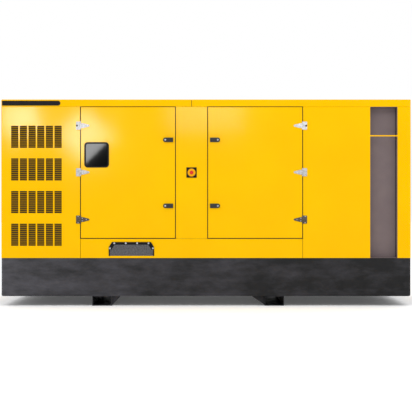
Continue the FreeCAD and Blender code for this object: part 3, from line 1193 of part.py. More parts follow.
def rain_cap():
    """The flap over the tail pipe, which turns on the pin between the pipe's two ears."""
    start = TAIL_TOP + TOUCH
    up = V(0, 0, 1)
    lid = cylinder(PIPE_RADIUS + 2 * PIPE_WALL, CAP_THICK, V(TAIL_X, 0, start), up)
    arm = box(TAIL_X, CAP_PIN_X, -CAP_BARREL / 2, CAP_BARREL / 2, start, start + CAP_THICK)
    foot = V(CAP_PIN_X, -CAP_BARREL / 2, CAP_PIN_Z)
    barrel = cylinder(CAP_BARREL_RADIUS, CAP_BARREL, foot, V(0, 1, 0))
    bore = cylinder(CAP_PIN_RADIUS + RUN, CAP_BARREL, foot, V(0, 1, 0))
    return lid.multiFuse([arm, barrel]).cut(bore).removeSplitter()


def build_engine():
    node("engine_block", [engine_block()])
    node("cylinder_head", cylinder_head())
    node("oil_sump", [oil_sump()])
    node("flywheel_housing", [flywheel_housing()])
    node("generator_stator", stator())
    node("crankshaft", crankshaft())
    node("radiator_fan", fan())
    node("radiator", radiator())
    node("fan_shroud", [fan_shroud()])
    node("silencer", silencer())
    node("rain_cap", [rain_cap()])
    node("turbocharger", turbocharger())
    node("air_filter", air_filter())
    node("engine_rails", engine_rails())
    node("batteries", batteries())
    cabinet, handle = control_cabinet()
    node("control_cabinet", cabinet)
    node("breaker_handle", [handle])


# ---------------------------------------------------------------- build and write
build_base()
build_canopy()
build_doors()
build_estop()
build_cable_outlet()
build_engine()

os.makedirs("parts", exist_ok=True)
for name, shape in NODES.items():
    bad = [s for s in shape.Solids if not s.isValid() or s.Volume <= 0]
    print(f"{name}: {len(shape.Solids)} solids, {shape.Volume / 1e6:.2f} litres{', INVALID' if bad else ''}")
    shape.exportStep(f"parts/{name}.step")
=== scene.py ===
# %% [markdown]
# # A sound-proofed diesel generator set
#
# The steel, the doors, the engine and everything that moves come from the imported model.
# This lesson gives them their finishes and adds the small pieces and soft linings that
# a workshop would fit last. Everything is in metres. X runs along the set, with the
# generator end at -X. The side that faces the camera is at -Y, and Z is up.

# %% Load the frame
import json
import math

import bmesh
import bpy
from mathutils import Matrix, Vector


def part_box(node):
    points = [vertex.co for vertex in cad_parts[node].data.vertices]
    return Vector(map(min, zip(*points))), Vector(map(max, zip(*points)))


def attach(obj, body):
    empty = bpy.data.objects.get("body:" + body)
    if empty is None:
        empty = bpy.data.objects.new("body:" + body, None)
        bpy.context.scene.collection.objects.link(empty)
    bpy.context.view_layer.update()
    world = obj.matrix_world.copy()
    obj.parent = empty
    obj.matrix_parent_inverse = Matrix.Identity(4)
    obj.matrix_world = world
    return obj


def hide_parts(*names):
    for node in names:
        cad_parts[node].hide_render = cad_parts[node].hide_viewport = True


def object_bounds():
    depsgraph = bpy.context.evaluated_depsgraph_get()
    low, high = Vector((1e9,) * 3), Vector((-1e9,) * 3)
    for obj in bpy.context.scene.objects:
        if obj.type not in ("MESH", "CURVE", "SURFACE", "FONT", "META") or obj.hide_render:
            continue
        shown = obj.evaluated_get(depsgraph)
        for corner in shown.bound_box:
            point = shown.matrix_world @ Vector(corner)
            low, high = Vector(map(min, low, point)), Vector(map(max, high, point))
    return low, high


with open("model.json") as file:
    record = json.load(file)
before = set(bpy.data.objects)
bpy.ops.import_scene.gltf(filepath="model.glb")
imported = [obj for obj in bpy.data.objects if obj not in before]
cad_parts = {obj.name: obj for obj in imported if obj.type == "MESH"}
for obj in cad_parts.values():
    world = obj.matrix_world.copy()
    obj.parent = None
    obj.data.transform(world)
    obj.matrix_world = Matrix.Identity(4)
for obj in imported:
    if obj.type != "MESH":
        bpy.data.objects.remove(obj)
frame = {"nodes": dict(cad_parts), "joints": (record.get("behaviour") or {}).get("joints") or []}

CAD_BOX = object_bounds()
MM = 0.001
LOW, HIGH = CAD_BOX
print("set measures", [round(v, 3) for v in HIGH - LOW], "m")

# %% [markdown]
# ## Camera
#
# A machine this large is best seen from far away through a long lens, so that upright
# edges stay upright and the ends hardly taper. A near camera with a wide lens would show
# the ends and bend the long lines. This one stands level in front of the middle of the
# set. Its lens follows from the width that has to fit at the front skin, which is easier
# to reason about than a focal length.

# %% Camera
CAMERA_DISTANCE = 12.0         # from the front skin, in metres
CAMERA_HEIGHT = 1.171
FRAME_WIDTH = 4.827            # seen at the front skin, in metres
SENSOR = 36.0                  # in millimetres, as the lens is

front_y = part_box("front_side_panels")[0].y
camera_data = bpy.data.cameras.new("long_lens")
camera_data.sensor_width = SENSOR
camera_data.lens = SENSOR * CAMERA_DISTANCE / FRAME_WIDTH
camera = bpy.data.objects.new("camera", camera_data)
camera.location = (0, front_y - CAMERA_DISTANCE, CAMERA_HEIGHT)
camera.rotation_euler = (math.radians(90), 0, 0)
bpy.context.scene.collection.objects.link(camera)
bpy.context.scene.camera = camera
print("lens", round(camera_data.lens, 1), "mm")

# %% [markdown]
# ## Two helpers for materials
#
# Paint makers and design tools give colours as sRGB hex values, but the renderer adds
# up light, so it needs linear numbers. One function does that. The other adds a
# node, sets its values and joins its inputs, because a material is mostly that, over
# and over.

# %% Colour and node helpers
def colour(hex_value):
    """sRGB hex to linear red, green, blue and a full alpha."""
    parts = [int(hex_value[i:i + 2], 16) / 255 for i in (0, 2, 4)]
    linear = [p / 12.92 if p <= 0.04045 else ((p + 0.055) / 1.055) ** 2.4 for p in parts]
    return (*linear, 1.0)


def add(tree, kind, settings=None, **inputs):
    """Adds a node. settings are its properties. inputs are values, or sockets to link, by the
    socket's name, or by its number as i0, i1 and so on."""
    made = tree.nodes.new("ShaderNode" + kind)
    for name, value in (settings or {}).items():
        setattr(made, name, value)
    for name, value in inputs.items():
        numbered = name[0] == "i" and name[1:].isdigit()
        key = int(name[1:]) if numbered else name.replace("_", " ")
        if isinstance(value, bpy.types.NodeSocket):
            tree.links.new(value, made.inputs[key])
        else:
            made.inputs[key].default_value = value
    return made


print("yellow in linear light", [round(c, 3) for c in colour("EAB300")])

# %% [markdown]
# ## Steps that most finishes share
#
# A real surface is never one flat colour. Its colour drifts, its gloss drifts where it is
# rubbed, and it is pebbled, rippled or grained. An image could carry all that, but a
# pattern that is worked out from the surface's own place in space has no seams and keeps
# its true size on every piece. Each step takes the size of the pattern in millimetres.

# %% Steps of a finish
def per_mm(size_mm):
    """The scale of a noise or voronoi pattern whose features are this many millimetres."""
    return 1.0 / (size_mm * MM)


def material(name, base, roughness, metallic=0.0, ior=1.5, **shader_values):
    """A plain finish: its shader, its tree, and its object coordinates, which are in metres."""
    made = bpy.data.materials.new(name)
    made.use_nodes = True
    tree = made.node_tree
    shader = tree.nodes["Principled BSDF"]
    shader.inputs["Base Color"].default_value = colour(base)
    shader.inputs["Roughness"].default_value = roughness
    shader.inputs["Metallic"].default_value = metallic
    shader.inputs["IOR"].default_value = ior
    for socket, value in shader_values.items():
        shader.inputs[socket.replace("_", " ")].default_value = value
    where = add(tree, "TexCoord").outputs["Object"]
    print("finish:", name)
    return made, tree, shader, where


def shades(tree, shader, amount, dark, light, low, high):
    """Base colour that goes from dark to light as amount goes from low to high."""
    ramp = add(tree, "ValToRGB", Fac=amount)
    first, last = ramp.color_ramp.elements
    first.position, last.position = low, high
    first.color, last.color = colour(dark), colour(light)
    tree.links.new(ramp.outputs["Color"], shader.inputs["Base Color"])
    return ramp.outputs["Color"]


def mottle(tree, where, shader, size_mm, dark, light, low=0.35, high=0.65, detail=4.0):
    """Base colour that drifts between two shades, with patches of size_mm."""
    noise = add(tree, "TexNoise", Vector=where, Scale=per_mm(size_mm), Detail=detail)
    return shades(tree, shader, noise.outputs["Fac"], dark, light, low, high)


def rough_between(tree, where, shader, size_mm, low, high):
    """Roughness that drifts between two values, as rubbed and untouched skin does."""
    noise = add(tree, "TexNoise", Vector=where, Scale=per_mm(size_mm), Detail=5.0)
    span = add(tree, "MapRange", Value=noise.outputs["Fac"], From_Min=0.3, From_Max=0.7,
               To_Min=low, To_Max=high)
    tree.links.new(span.outputs["Result"], shader.inputs["Roughness"])


def relief(tree, where, shader, size_mm, depth_mm, strength, texture="TexNoise", settings=None,
           **inputs):
    """Raises the surface by depth_mm in grains of size_mm, on top of any relief it has."""
    grain = add(tree, texture, settings, Vector=where, Scale=per_mm(size_mm), **inputs)
    height = grain.outputs["Distance" if texture == "TexVoronoi" else "Fac"]
    made = add(tree, "Bump", Height=height, Distance=depth_mm * MM, Strength=strength)
    for link in shader.inputs["Normal"].links:
        tree.links.new(link.from_socket, made.inputs["Normal"])
    tree.links.new(made.outputs["Normal"], shader.inputs["Normal"])


# %% [markdown]
# ## Powder-coated sheet steel
#
# The canopy is folded 3 mm steel, sprayed with yellow polyester powder and baked. The
# melt leaves an even, semi-gloss skin with a fine orange peel, whose ripples are a few
# millimetres apart. The sheet below is never quite flat, so its reflections wander
# slowly over half a metre. Polyester reflects little when it is seen square on, so the
# specular level is low and only a bright lamp shows as a pale cloud. The clouds could be
# mixed into the paint, but then they would stay put when one walks round the set.

# %% Yellow powder coat
def powder_coated_yellow():
    made, tree, shader, where = material("powder_coated_yellow_steel", "EAB300", 0.12,
                                         Specular_IOR_Level=0.05)
    mottle(tree, where, shader, 700, "E8B000", "ECB500", 0.3, 0.7, 2.0)
    rough_between(tree, where, shader, 300, 0.10, 0.14)
    relief(tree, where, shader, 520, 2.5, 0.5, Detail=1.0)
    relief(tree, where, shader, 9, 0.05, 0.5, Detail=2.0)
    return made


YELLOW = powder_coated_yellow()

# %% [markdown]
# ## Black structured paint
#
# The base stands in splashes and forklift traffic, so it gets a thick structured paint:
# matt, pebbled, and dusty soon after it is cleaned. The pebbles are drawn 14 mm apart,
# coarser than real ones, so that they show. Dust settles in long patches about a hand
# wide. The colour is also painted lighter toward the generator end and darker toward the
# far end, as painted light for how the light falls along the base. An even dark grey
# would be simpler, but it looks like paper on a surface this large. The frame inside
# gets a satin enamel.

# %% Black paints
# painted light: lifts the base's colour at the generator end and lowers it at the far end
PAINTED_LIGHT_AT_ENDS = (0.12, -0.08)    # added to the patches at the generator end and at the far end


def structured_black():
    made, tree, shader, where = material("structured_black_paint", "101012", 0.52,
                                         Specular_IOR_Level=0.25)
    long_way = add(tree, "Mapping", Vector=where, Scale=(0.6, 1.0, 1.6))
    patches = add(tree, "TexNoise", Vector=long_way.outputs["Vector"], Scale=per_mm(260),
                  Detail=8.0, Roughness=0.68)
    # painted light: the dust patches plus a lighter-to-darker drift along the set
    along = add(tree, "SeparateXYZ", Vector=where).outputs["X"]
    drift = add(tree, "MapRange", Value=along, From_Min=LOW.x, From_Max=HIGH.x,
                To_Min=PAINTED_LIGHT_AT_ENDS[0], To_Max=PAINTED_LIGHT_AT_ENDS[1])
    dust_and_painted_light = add(tree, "Math", {"operation": "ADD"}, i0=patches.outputs["Fac"], i1=drift.outputs[0])
    shades(tree, shader, dust_and_painted_light.outputs[0], "0C0C0E", "343338", 0.40, 0.76)
    rough_between(tree, where, shader, 90, 0.42, 0.68)
    relief(tree, where, shader, 14, 0.9, 0.6, "TexVoronoi")
    relief(tree, where, shader, 30, 1.2, 0.5, Detail=6.0)
    return made


def satin_black():
    made, tree, shader, where = material("satin_black_enamel", "121214", 0.4,
                                         Specular_IOR_Level=0.4)
    mottle(tree, where, shader, 120, "0F0F11", "1B1B1D")
    relief(tree, where, shader, 8, 0.08, 0.5, Detail=2.0)
    return made


STRUCTURED_BLACK = structured_black()
SATIN_BLACK = satin_black()

# %% [markdown]
# ## Moulded plastics and rubbers
#
# These share one recipe: a pigment, a fine spark-eroded grain from the mould, and a
# little drift in roughness where hands and cloths have been. Only the numbers change,
# so one function makes them all, and each line says which plastic it is.

# %% Plastics and rubbers
def moulded(name, dark, light, roughness, grain_mm, grain_depth_mm, patch_mm=60,
            **shader_values):
    made, tree, shader, where = material(name, light, roughness, **shader_values)
    mottle(tree, where, shader, patch_mm, dark, light)
    rough_between(tree, where, shader, 45, roughness - 0.06, roughness + 0.08)
    relief(tree, where, shader, grain_mm, grain_depth_mm, 0.5, "TexVoronoi")
    return made


# EPDM is a dull black rubber with a waxy bloom.
EPDM = moulded("epdm_rubber", "060607", "0F0F10", 0.62, 3.0, 0.10, Specular_IOR_Level=0.2)
# Reinforced neoprene sheet, cut for flaps: grey, with the print of its cloth backing.
NEOPRENE = moulded("neoprene_sheet", "3A3A3D", "5A5A5E", 0.66, 5.0, 0.30, patch_mm=13,
                   Specular_IOR_Level=0.35)
# Flush box of the emergency stop, dense black and nearly smooth.
BOX_BLACK = moulded("black_polycarbonate", "060607", "0B0B0D", 0.4, 3.0, 0.05,
                    Specular_IOR_Level=0.15)
# Clamping bar, pressed steel under a dense black paint.
CLAMP_BLACK = moulded("black_painted_clamp", "060607", "0C0C0E", 0.5, 4.0, 0.05,
                      Specular_IOR_Level=0.15)
# Glass-filled nylon shows its fibres as a faint sparkle on black.
GLASS_NYLON = moulded("glass_filled_nylon", "0A0A0C", "161619", 0.42, 2.5, 0.10)
# ABS trim is smoother than nylon and a little greyer.
ABS_TRIM = moulded("abs_trim", "0C0C0E", "131315", 0.44, 3.0, 0.06,
                   Specular_IOR_Level=0.18)
# Polypropylene has a soft, greasy sheen.
POLYPROPYLENE = moulded("polypropylene", "101012", "1A1A1C", 0.38, 4.0, 0.10)
# Pigmented nylon blades, orange so that they are seen when they turn.
ORANGE_NYLON = moulded("orange_nylon", "B44E08", "C65A0C", 0.36, 5.0, 0.15)
# Button moulded in glossy red polycarbonate.
RED_POLYCARBONATE = moulded("red_polycarbonate", "C21C0E", "CC2414", 0.22, 6.0, 0.02,
                            Coat_Weight=0.3, Coat_Roughness=0.08, Specular_IOR_Level=0.2)
# Printed legend disc in yellow polycarbonate.
YELLOW_POLYCARBONATE = moulded("yellow_polycarbonate", "E09C02", "E6A204", 0.35, 6.0, 0.02,
                               Specular_IOR_Level=0.1)

# %% [markdown]
# ## Bright metals
#
# The T-hinges are investment-cast stainless steel, tumbled and polished. Their colour
# comes only from what they reflect, so they need soft waves in the surface more than
# they need a colour. Their colour is still painted darker towards the bottom, as painted
# shade for the darker reflections low down: the lowest hinge is brown, the middle one
# greyed, and the top one bright. Shafts are turned on a lathe, which leaves fine rings,
# and screws are zinc plated, a cooler and slightly milky grey.

# %% Steels
FULL_SHADE_LINE = 0.85              # metres above the floor: fully darkened below this, as painted shade
NO_SHADE_LINE = 1.95              # and left bright above this


def polished_stainless():
    made, tree, shader, where = material("polished_stainless", "D8D8DA", 0.2, 1.0)
    plain_colour = mottle(tree, where, shader, 22, "CECFD1", "EEEEEF")
    # painted shade: the colour is darkened to brown towards the bottom, for the darker reflections
    # low down
    height = add(tree, "SeparateXYZ", Vector=where).outputs["Z"]
    painted_shade = add(tree, "MapRange", {"interpolation_type": "SMOOTHSTEP"}, Value=height,
                From_Min=FULL_SHADE_LINE, From_Max=NO_SHADE_LINE, To_Min=1.0, To_Max=0.0)
    shaded_colour = add(tree, "Mix", {"data_type": "RGBA"}, i0=painted_shade.outputs["Result"],
                i6=plain_colour, i7=colour("4A3F33"))
    tree.links.new(shaded_colour.outputs[2], shader.inputs["Base Color"])
    rough_between(tree, where, shader, 14, 0.14, 0.30)
    relief(tree, where, shader, 26, 2.2, 0.7, Detail=1.5)
    return made


def zinc_plate():
    made, tree, shader, where = material("zinc_plated_steel", "B9BCC0", 0.32, 1.0)
    mottle(tree, where, shader, 10, "A9ACB1", "C9CBCE")
    return made


def turned_steel():
    made, tree, shader, where = material("turned_steel", "9A9A9C", 0.3, 1.0)
    relief(tree, where, shader, 12, 0.12, 0.4, "TexWave",
           {"wave_type": "BANDS", "bands_direction": "X"}, Distortion=0.4)
    mottle(tree, where, shader, 40, "8C8C8E", "A6A6A8")
    return made


def aluminised_steel():
    """Exhaust sheet dipped in aluminium: it dulls and browns in patches where it gets hot."""
    made, tree, shader, where = material("aluminised_steel", "8E8880", 0.45, 0.85)
    mottle(tree, where, shader, 90, "6E655B", "9A958D", 0.3, 0.7, 6.0)
    rough_between(tree, where, shader, 60, 0.35, 0.6)
    return made


STAINLESS = polished_stainless()
ZINC = zinc_plate()
TURNED = turned_steel()
ALUMINISED = aluminised_steel()

# %% [markdown]
# ## Cast and painted machinery
#
# Engine and generator housings are sand-cast iron under one coat of enamel. The sand
# leaves a pebbly skin about 4 mm across, which the enamel softens but doesn't hide. The
# turbocharger is left bare, because paint would burn off, and it rusts to a dry brown.
# Pebbles in the mesh would cost millions of faces, so a shallow relief makes them.

# %% Castings and cabinets
def cast(name, dark, light, roughness, grit_mm=5.0, grit_depth_mm=0.5, **shader_values):
    made, tree, shader, where = material(name, light, roughness, **shader_values)
    mottle(tree, where, shader, 150, dark, light, 0.3, 0.7, 6.0)
    rough_between(tree, where, shader, 80, roughness - 0.08, roughness + 0.1)
    relief(tree, where, shader, grit_mm, grit_depth_mm, 0.6, Detail=3.0)
    return made


GREY_ENAMEL = cast("grey_enamel_on_cast_iron", "3B4046", "4B5157", 0.42)
BLUE_ENAMEL = cast("blue_grey_enamel_on_cast_iron", "24384F", "30486A", 0.4)
BARE_IRON = cast("bare_cast_iron", "3E3029", "5C4C41", 0.75, 4.0, 0.6)
CABINET_COAT = cast("light_grey_powder_coat", "8E9294", "9A9EA0", 0.45, 3.0, 0.06)
BLACK_ALUMINIUM = cast("black_coated_aluminium", "101012", "1C1C1E", 0.5, 8.0, 0.2)

# %% [markdown]
# ## Sound-deadening coat and foam
#
# The air outlet is lined with sheet that is sprayed with a grey, slightly warm mastic.
# It is matt, with spatter a few millimetres across. The doors and panels are lined with
# open-cell foam, which is nearly black because light that goes in hardly comes out.

# %% Linings
def mastic_coat():
    made, tree, shader, where = material("sound_deadening_mastic", "6E6161", 0.7,
                                         Specular_IOR_Level=0.3)
    mottle(tree, where, shader, 180, "6A5E60", "726565", 0.3, 0.7, 5.0)
    relief(tree, where, shader, 16, 0.6, 0.5, "TexVoronoi")
    return made


def open_cell_foam():
    made, tree, shader, where = material("open_cell_foam", "1C1C1E", 0.95,
                                         Specular_IOR_Level=0.15, Sheen_Weight=0.25,
                                         Sheen_Roughness=0.6)
    mottle(tree, where, shader, 12, "121214", "27272A")
    relief(tree, where, shader, 5, 1.5, 0.8, "TexVoronoi")
    return made


MASTIC = mastic_coat()
FOAM = open_cell_foam()

# %% [markdown]
# ## Tinted safety glass
#
# The window over the control panel is dark tinted glass. From outside it mostly shows a
# reflection, so its body is a very dark grey with a mirror-smooth skin. A real pane is
# 5 mm thick and lets a little light through, which transmission gives. A clear pane would
# be more natural for a window, but it would show the cabinet far too brightly.

# %% Glass
def tinted_glass():
    made, tree, shader, where = material("tinted_safety_glass", "010101", 0.055, ior=1.52,
                                         Transmission_Weight=0.02, Specular_IOR_Level=0.043)
    relief(tree, where, shader, 180, 0.6, 0.3, Detail=1.0)
    return made


GLASS = tinted_glass()

# %% [markdown]
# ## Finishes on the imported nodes
#
# Every node names a material slot in the record, so one table from slot to finish
# dresses the whole model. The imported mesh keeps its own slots, and each is filled
# with the new material. Flat-sided steel stays flat shaded, while turned and cast
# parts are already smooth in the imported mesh.

# %% Dress the nodes
FINISH = {
    "yellow_paint": YELLOW, "black_frame_paint": STRUCTURED_BLACK, "frame_paint": SATIN_BLACK,
    "black_trim": ABS_TRIM, "baffle_grey": MASTIC, "seal_rubber": EPDM, "flap_rubber": NEOPRENE,
    "cap_plastic": POLYPROPYLENE, "stainless_steel": STAINLESS, "lock_plastic": GLASS_NYLON,
    "window_glass": GLASS, "estop_black": BOX_BLACK, "estop_red": RED_POLYCARBONATE,
    "outlet_black": CLAMP_BLACK, "engine_paint": GREY_ENAMEL, "generator_paint": BLUE_ENAMEL,
    "shaft_steel": TURNED, "fan_plastic": ORANGE_NYLON, "radiator_black": BLACK_ALUMINIUM,
    "exhaust_steel": ALUMINISED, "turbo_iron": BARE_IRON, "filter_black": POLYPROPYLENE,
    "battery_case": POLYPROPYLENE, "cabinet_paint": CABINET_COAT, "breaker_black": GLASS_NYLON,
}
for node_object in frame["nodes"].values():
    for place in node_object.material_slots:
        place.material = FINISH[place.material.name]
print("dressed", len(frame["nodes"]), "nodes")

# %% [markdown]
# ## Painted shade and dust on the louvre bars
#
# Air is drawn in through the slots, and its dust makes the narrow bars of sheet between
# them matt. The bars are also painted a darker yellow, as painted shade for the shade they
# lie in between the slots. The dust could be painted by hand, but it lies exactly where
# the slots are, so a mask does it: a point is shaded and dusty where it falls inside both
# a column and a bank of slots. Columns and banks are laid out by start, pitch, width and
# count, as punched.

# %% Louvre bars
COLUMN_START = 117 * MM         # from the left edge of the louvred panel
COLUMN_PITCH, COLUMN_WIDTH, COLUMNS = 101.5 * MM, 85 * MM, 6
BANK_START = 223 * MM           # down from the top of the wall
BANK_PITCH, BANK_HEIGHT, BANKS = 382.5 * MM, 258 * MM, 4


def louvre_bars_painted_shade_and_dust(columns, banks):
    """A copy of the yellow coat with painted shade and dust on the louvre bars. columns and banks
    are (start, pitch, width, count).
    """
    made = YELLOW.copy()
    made.name = "powder_coat_painted_shade_and_dust_at_louvres"
    tree = made.node_tree
    shader = tree.nodes["Principled BSDF"]
    where = add(tree, "SeparateXYZ", Vector=tree.nodes["Texture Coordinate"].outputs["Object"])
    inside = []
    for axis, (start, pitch, width, count) in (("X", columns), ("Z", banks)):
        along = add(tree, "Math", {"operation": "SUBTRACT"}, i0=where.outputs[axis], i1=start)
        step = add(tree, "Math", {"operation": "FLOORED_MODULO"}, i0=along.outputs[0], i1=pitch)
        inside.append(add(tree, "Math", {"operation": "LESS_THAN"}, i0=step.outputs[0], i1=width))
        middle = pitch * count / 2
        inside.append(add(tree, "Math", {"operation": "COMPARE"}, i0=along.outputs[0],
                          i1=middle, i2=middle))
    mask = inside[0]
    for test in inside[1:]:
        mask = add(tree, "Math", {"operation": "MULTIPLY"}, i0=mask.outputs[0], i1=test.outputs[0])
    plain_colour = shader.inputs["Base Color"].links[0].from_socket
    # painted shade: inside the mask the bars are darker yellow, for the shade they lie in; the
    # matt roughness below is dust
    shaded_and_dusty = add(tree, "Mix", {"data_type": "RGBA"}, i0=mask.outputs[0], i6=plain_colour,
                i7=colour("8A6600"))
    glossy = shader.inputs["Roughness"].links[0].from_socket
    matt = add(tree, "Mix", i0=mask.outputs[0], i2=glossy, i3=0.7)
    tree.links.new(matt.outputs[0], shader.inputs["Roughness"])
    tree.links.new(shaded_and_dusty.outputs[2], shader.inputs["Base Color"])
    return made


first_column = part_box("louvre_panels")[0].x + COLUMN_START
top_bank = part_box("front_side_panels")[1].z - BANK_START
lowest_bank = top_bank - (BANKS - 1) * BANK_PITCH - BANK_HEIGHT
LOUVRES = louvre_bars_painted_shade_and_dust((first_column, COLUMN_PITCH, COLUMN_WIDTH, COLUMNS),
                            (lowest_bank, BANK_PITCH, BANK_HEIGHT, BANKS))
for place in frame["nodes"]["louvre_panels"].material_slots:
    place.material = LOUVRES
print("louvre banks start at", round(first_column, 3), round(lowest_bank, 3))

# %% [markdown]
# ## Building small pieces
#
# Screws, plugs and buttons are round, so they are drawn like turned parts: a profile of
# distances and radii is spun about an axis. Ready-made cylinders would be quicker, but
# they have no dome, rim or recess. Every piece is smooth, except at edges sharper than
# 35 degrees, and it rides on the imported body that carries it.

# %% Pieces and turned parts
SHARP = math.radians(35)
ON_AXIS = 1e-7                  # a smaller radius, in metres, is a single point


def piece(name, shape, finish, body):
    """Makes an object of the mesh that rides on a CAD body, with the given finish."""
    bmesh.ops.recalc_face_normals(shape, faces=shape.faces)
    for face in shape.faces:
        face.smooth = True
    for edge in shape.edges:
        if len(edge.link_faces) == 2 and edge.calc_face_angle() > SHARP:
            edge.smooth = False
    mesh = bpy.data.meshes.new(name)
    shape.to_mesh(mesh)
    shape.free()
    mesh.materials.append(finish)
    made = bpy.data.objects.new(name, mesh)
    bpy.context.scene.collection.objects.link(made)
    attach(made, body)
    print(f"{name}: {len(mesh.polygons)} faces on {body}")
    return made


def scaled(profile):
    """A profile that is given in millimetres, in metres."""
    return [(along * MM, radius * MM) for along, radius in profile]


def turned(shape, start, axis, profile, steps=20):
    """Spins a profile of (distance along the axis, radius) about the axis from start."""
    axis = Vector(axis).normalized()
    side = axis.orthogonal().normalized()
    other = axis.cross(side)
    rings = []
    for along, radius in profile:
        centre = Vector(start) + axis * along
        if radius < ON_AXIS:
            rings.append([shape.verts.new(centre)] * steps)
            continue
        angles = [2 * math.pi * i / steps for i in range(steps)]
        rings.append([shape.verts.new(centre + (side * math.cos(a) + other * math.sin(a)) * radius)
                      for a in angles])
    for low, high in zip(rings, rings[1:]):
        for i in range(steps):
            j = (i + 1) % steps
            corners = list(dict.fromkeys((low[i], low[j], high[j], high[i])))
            if len(corners) > 2:
                shape.faces.new(corners)
    for ring in (rings[0], rings[-1]):
        if len(set(ring)) > 2:
            shape.faces.new(ring)


# %% [markdown]
# ## The doors and their two sides
#
# Four doors share every fitting. Each is described by the side it faces, by where its
# hinge pin and its free edge are, and by its packed box. The pins come from the joints.
# A table of these facts lets one loop fit all four doors, so none can be forgotten.

# %% Door table
JOINTS = {joint["name"]: joint for joint in frame["joints"]}
DOORS = {}
for door in ("front_left", "front_right", "rear_left", "rear_right"):
    door_low, door_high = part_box(door + "_door")
    pin_x = JOINTS[door + "_door_hinge"]["pos_m"][0]
    outward = -1 if door.startswith("front") else 1
    toward_free = 1 if abs(door_low.x - pin_x) < abs(door_high.x - pin_x) else -1
    DOORS[door] = {"low": door_low, "high": door_high, "pin_x": pin_x, "out": outward,
                   "sign": toward_free, "skin_y": outward * abs(front_y)}
print({name: (facts["out"], facts["sign"]) for name, facts in DOORS.items()})

# %% [markdown]
# ## Hinge screws and plugs
#
# Each strap is held by three low dome screws and each fixed leaf by two. The round black
# plug at the outer edge of the top leaf closes the hole that the lifting jig uses in
# the paint line. The heights could be typed in, but they are read from the packed
# straps, so the screws follow the hinges.

# %% Screws of the hinges
STRAP_SCREWS = ((20, 15), (20, -15), (66, 0))      # along the strap and up from its middle, in mm
LEAF_SCREWS = ((-30, 36), (-30, -36))
PLUG_ALONG = -42
HINGE_PLATE = 5 * MM
STRAPS_APART = 50 * MM          # less than the space between two straps
DOME = ((0.0, 5.2), (0.5, 5.2), (1.3, 4.2), (1.8, 2.4), (1.85, 1.9), (1.2, 1.5), (1.2, 0.0))
PLUG = ((0.0, 11.5), (2.0, 11.5), (3.6, 9.8), (4.4, 6.0), (4.6, 0.0))


def levels(node):
    """The middle heights of the solids of a node that stand one above another."""
    heights = sorted({round(v.co.z, 4) for v in frame["nodes"][node].data.vertices})
    groups = [[heights[0]]]
    for height in heights[1:]:
        if height - groups[-1][-1] > STRAPS_APART:
            groups.append([])
        groups[-1].append(height)
    return [(group[0] + group[-1]) / 2 for group in groups]


leaf_screws = bmesh.new()
plugs = bmesh.new()
for door, facts in DOORS.items():
    face_y = facts["skin_y"] + facts["out"] * HINGE_PLATE
    out = (0, facts["out"], 0)
    heights = levels(door + "_hinge_straps")
    strap_screws = bmesh.new()
    for z in heights:
        for screws, places in ((strap_screws, STRAP_SCREWS), (leaf_screws, LEAF_SCREWS)):
            for along, up in places:
                spot = (facts["pin_x"] + facts["sign"] * along * MM, face_y, z + up * MM)
                turned(screws, spot, out, scaled(DOME))
    piece(door + "_strap_screws", strap_screws, ZINC, door + "_door")
    plug_x = facts["pin_x"] + facts["sign"] * PLUG_ALONG * MM
    turned(plugs, (plug_x, face_y, heights[-1]), out, scaled(PLUG))
piece("hinge_leaf_screws", leaf_screws, ZINC, "set")
piece("hinge_plugs", plugs, GLASS_NYLON, "set")
print("hinges stand at", [round(z, 3) for z in heights])

# %% [markdown]
# ## Plates and bars
#
# Plates and bars are outlines that are pushed to a thickness, and their edges are broken
# with a bevel, because no moulded or cut edge is sharp and the thin highlight along it
# is what makes it look real. Many pieces are mirrored from side to side, so a block takes
# each pair of limits in either order.

# %% Blocks and outlines
def block(shape, xs, ys, zs, edge=0.0):
    """A box between a pair of limits on each axis, with its edges rounded by edge."""
    made = bmesh.ops.create_cube(shape, size=1.0)["verts"]
    low = Vector([min(pair) for pair in (xs, ys, zs)])
    high = Vector([max(pair) for pair in (xs, ys, zs)])
    bmesh.ops.scale(shape, vec=high - low, verts=made)
    bmesh.ops.translate(shape, vec=(low + high) / 2, verts=made)
    if edge:
        edges = {e for v in made for e in v.link_edges}
        bmesh.ops.bevel(shape, geom=list(edges), offset=edge, segments=2, profile=0.5,
                        affect="EDGES")


def extruded(shape, outline, y_front, y_back, edge=0.0):
    """Pushes an outline of (x, z) points from y_front to y_back and rounds the front rim."""
    front = [shape.verts.new((x, y_front, z)) for x, z in outline]
    back = [shape.verts.new((x, y_back, z)) for x, z in outline]
    face = shape.faces.new(front)
    shape.faces.new(list(reversed(back)))
    for i in range(len(outline)):
        j = (i + 1) % len(outline)
        shape.faces.new((front[j], front[i], back[i], back[j]))
    if edge:
        bmesh.ops.bevel(shape, geom=list(face.edges), offset=edge, segments=3, profile=0.6,
                        affect="EDGES")


# %% [markdown]
# ## Lever locks
#
# Each lock is a flush nylon lever with a chromed key barrel in its round end, and a steel
# spindle and cam behind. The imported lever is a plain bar, so a shaped one stands for
# it: a crowned body with a finger scoop at the square end. The lever joint gives the
# barrel's place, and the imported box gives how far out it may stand.

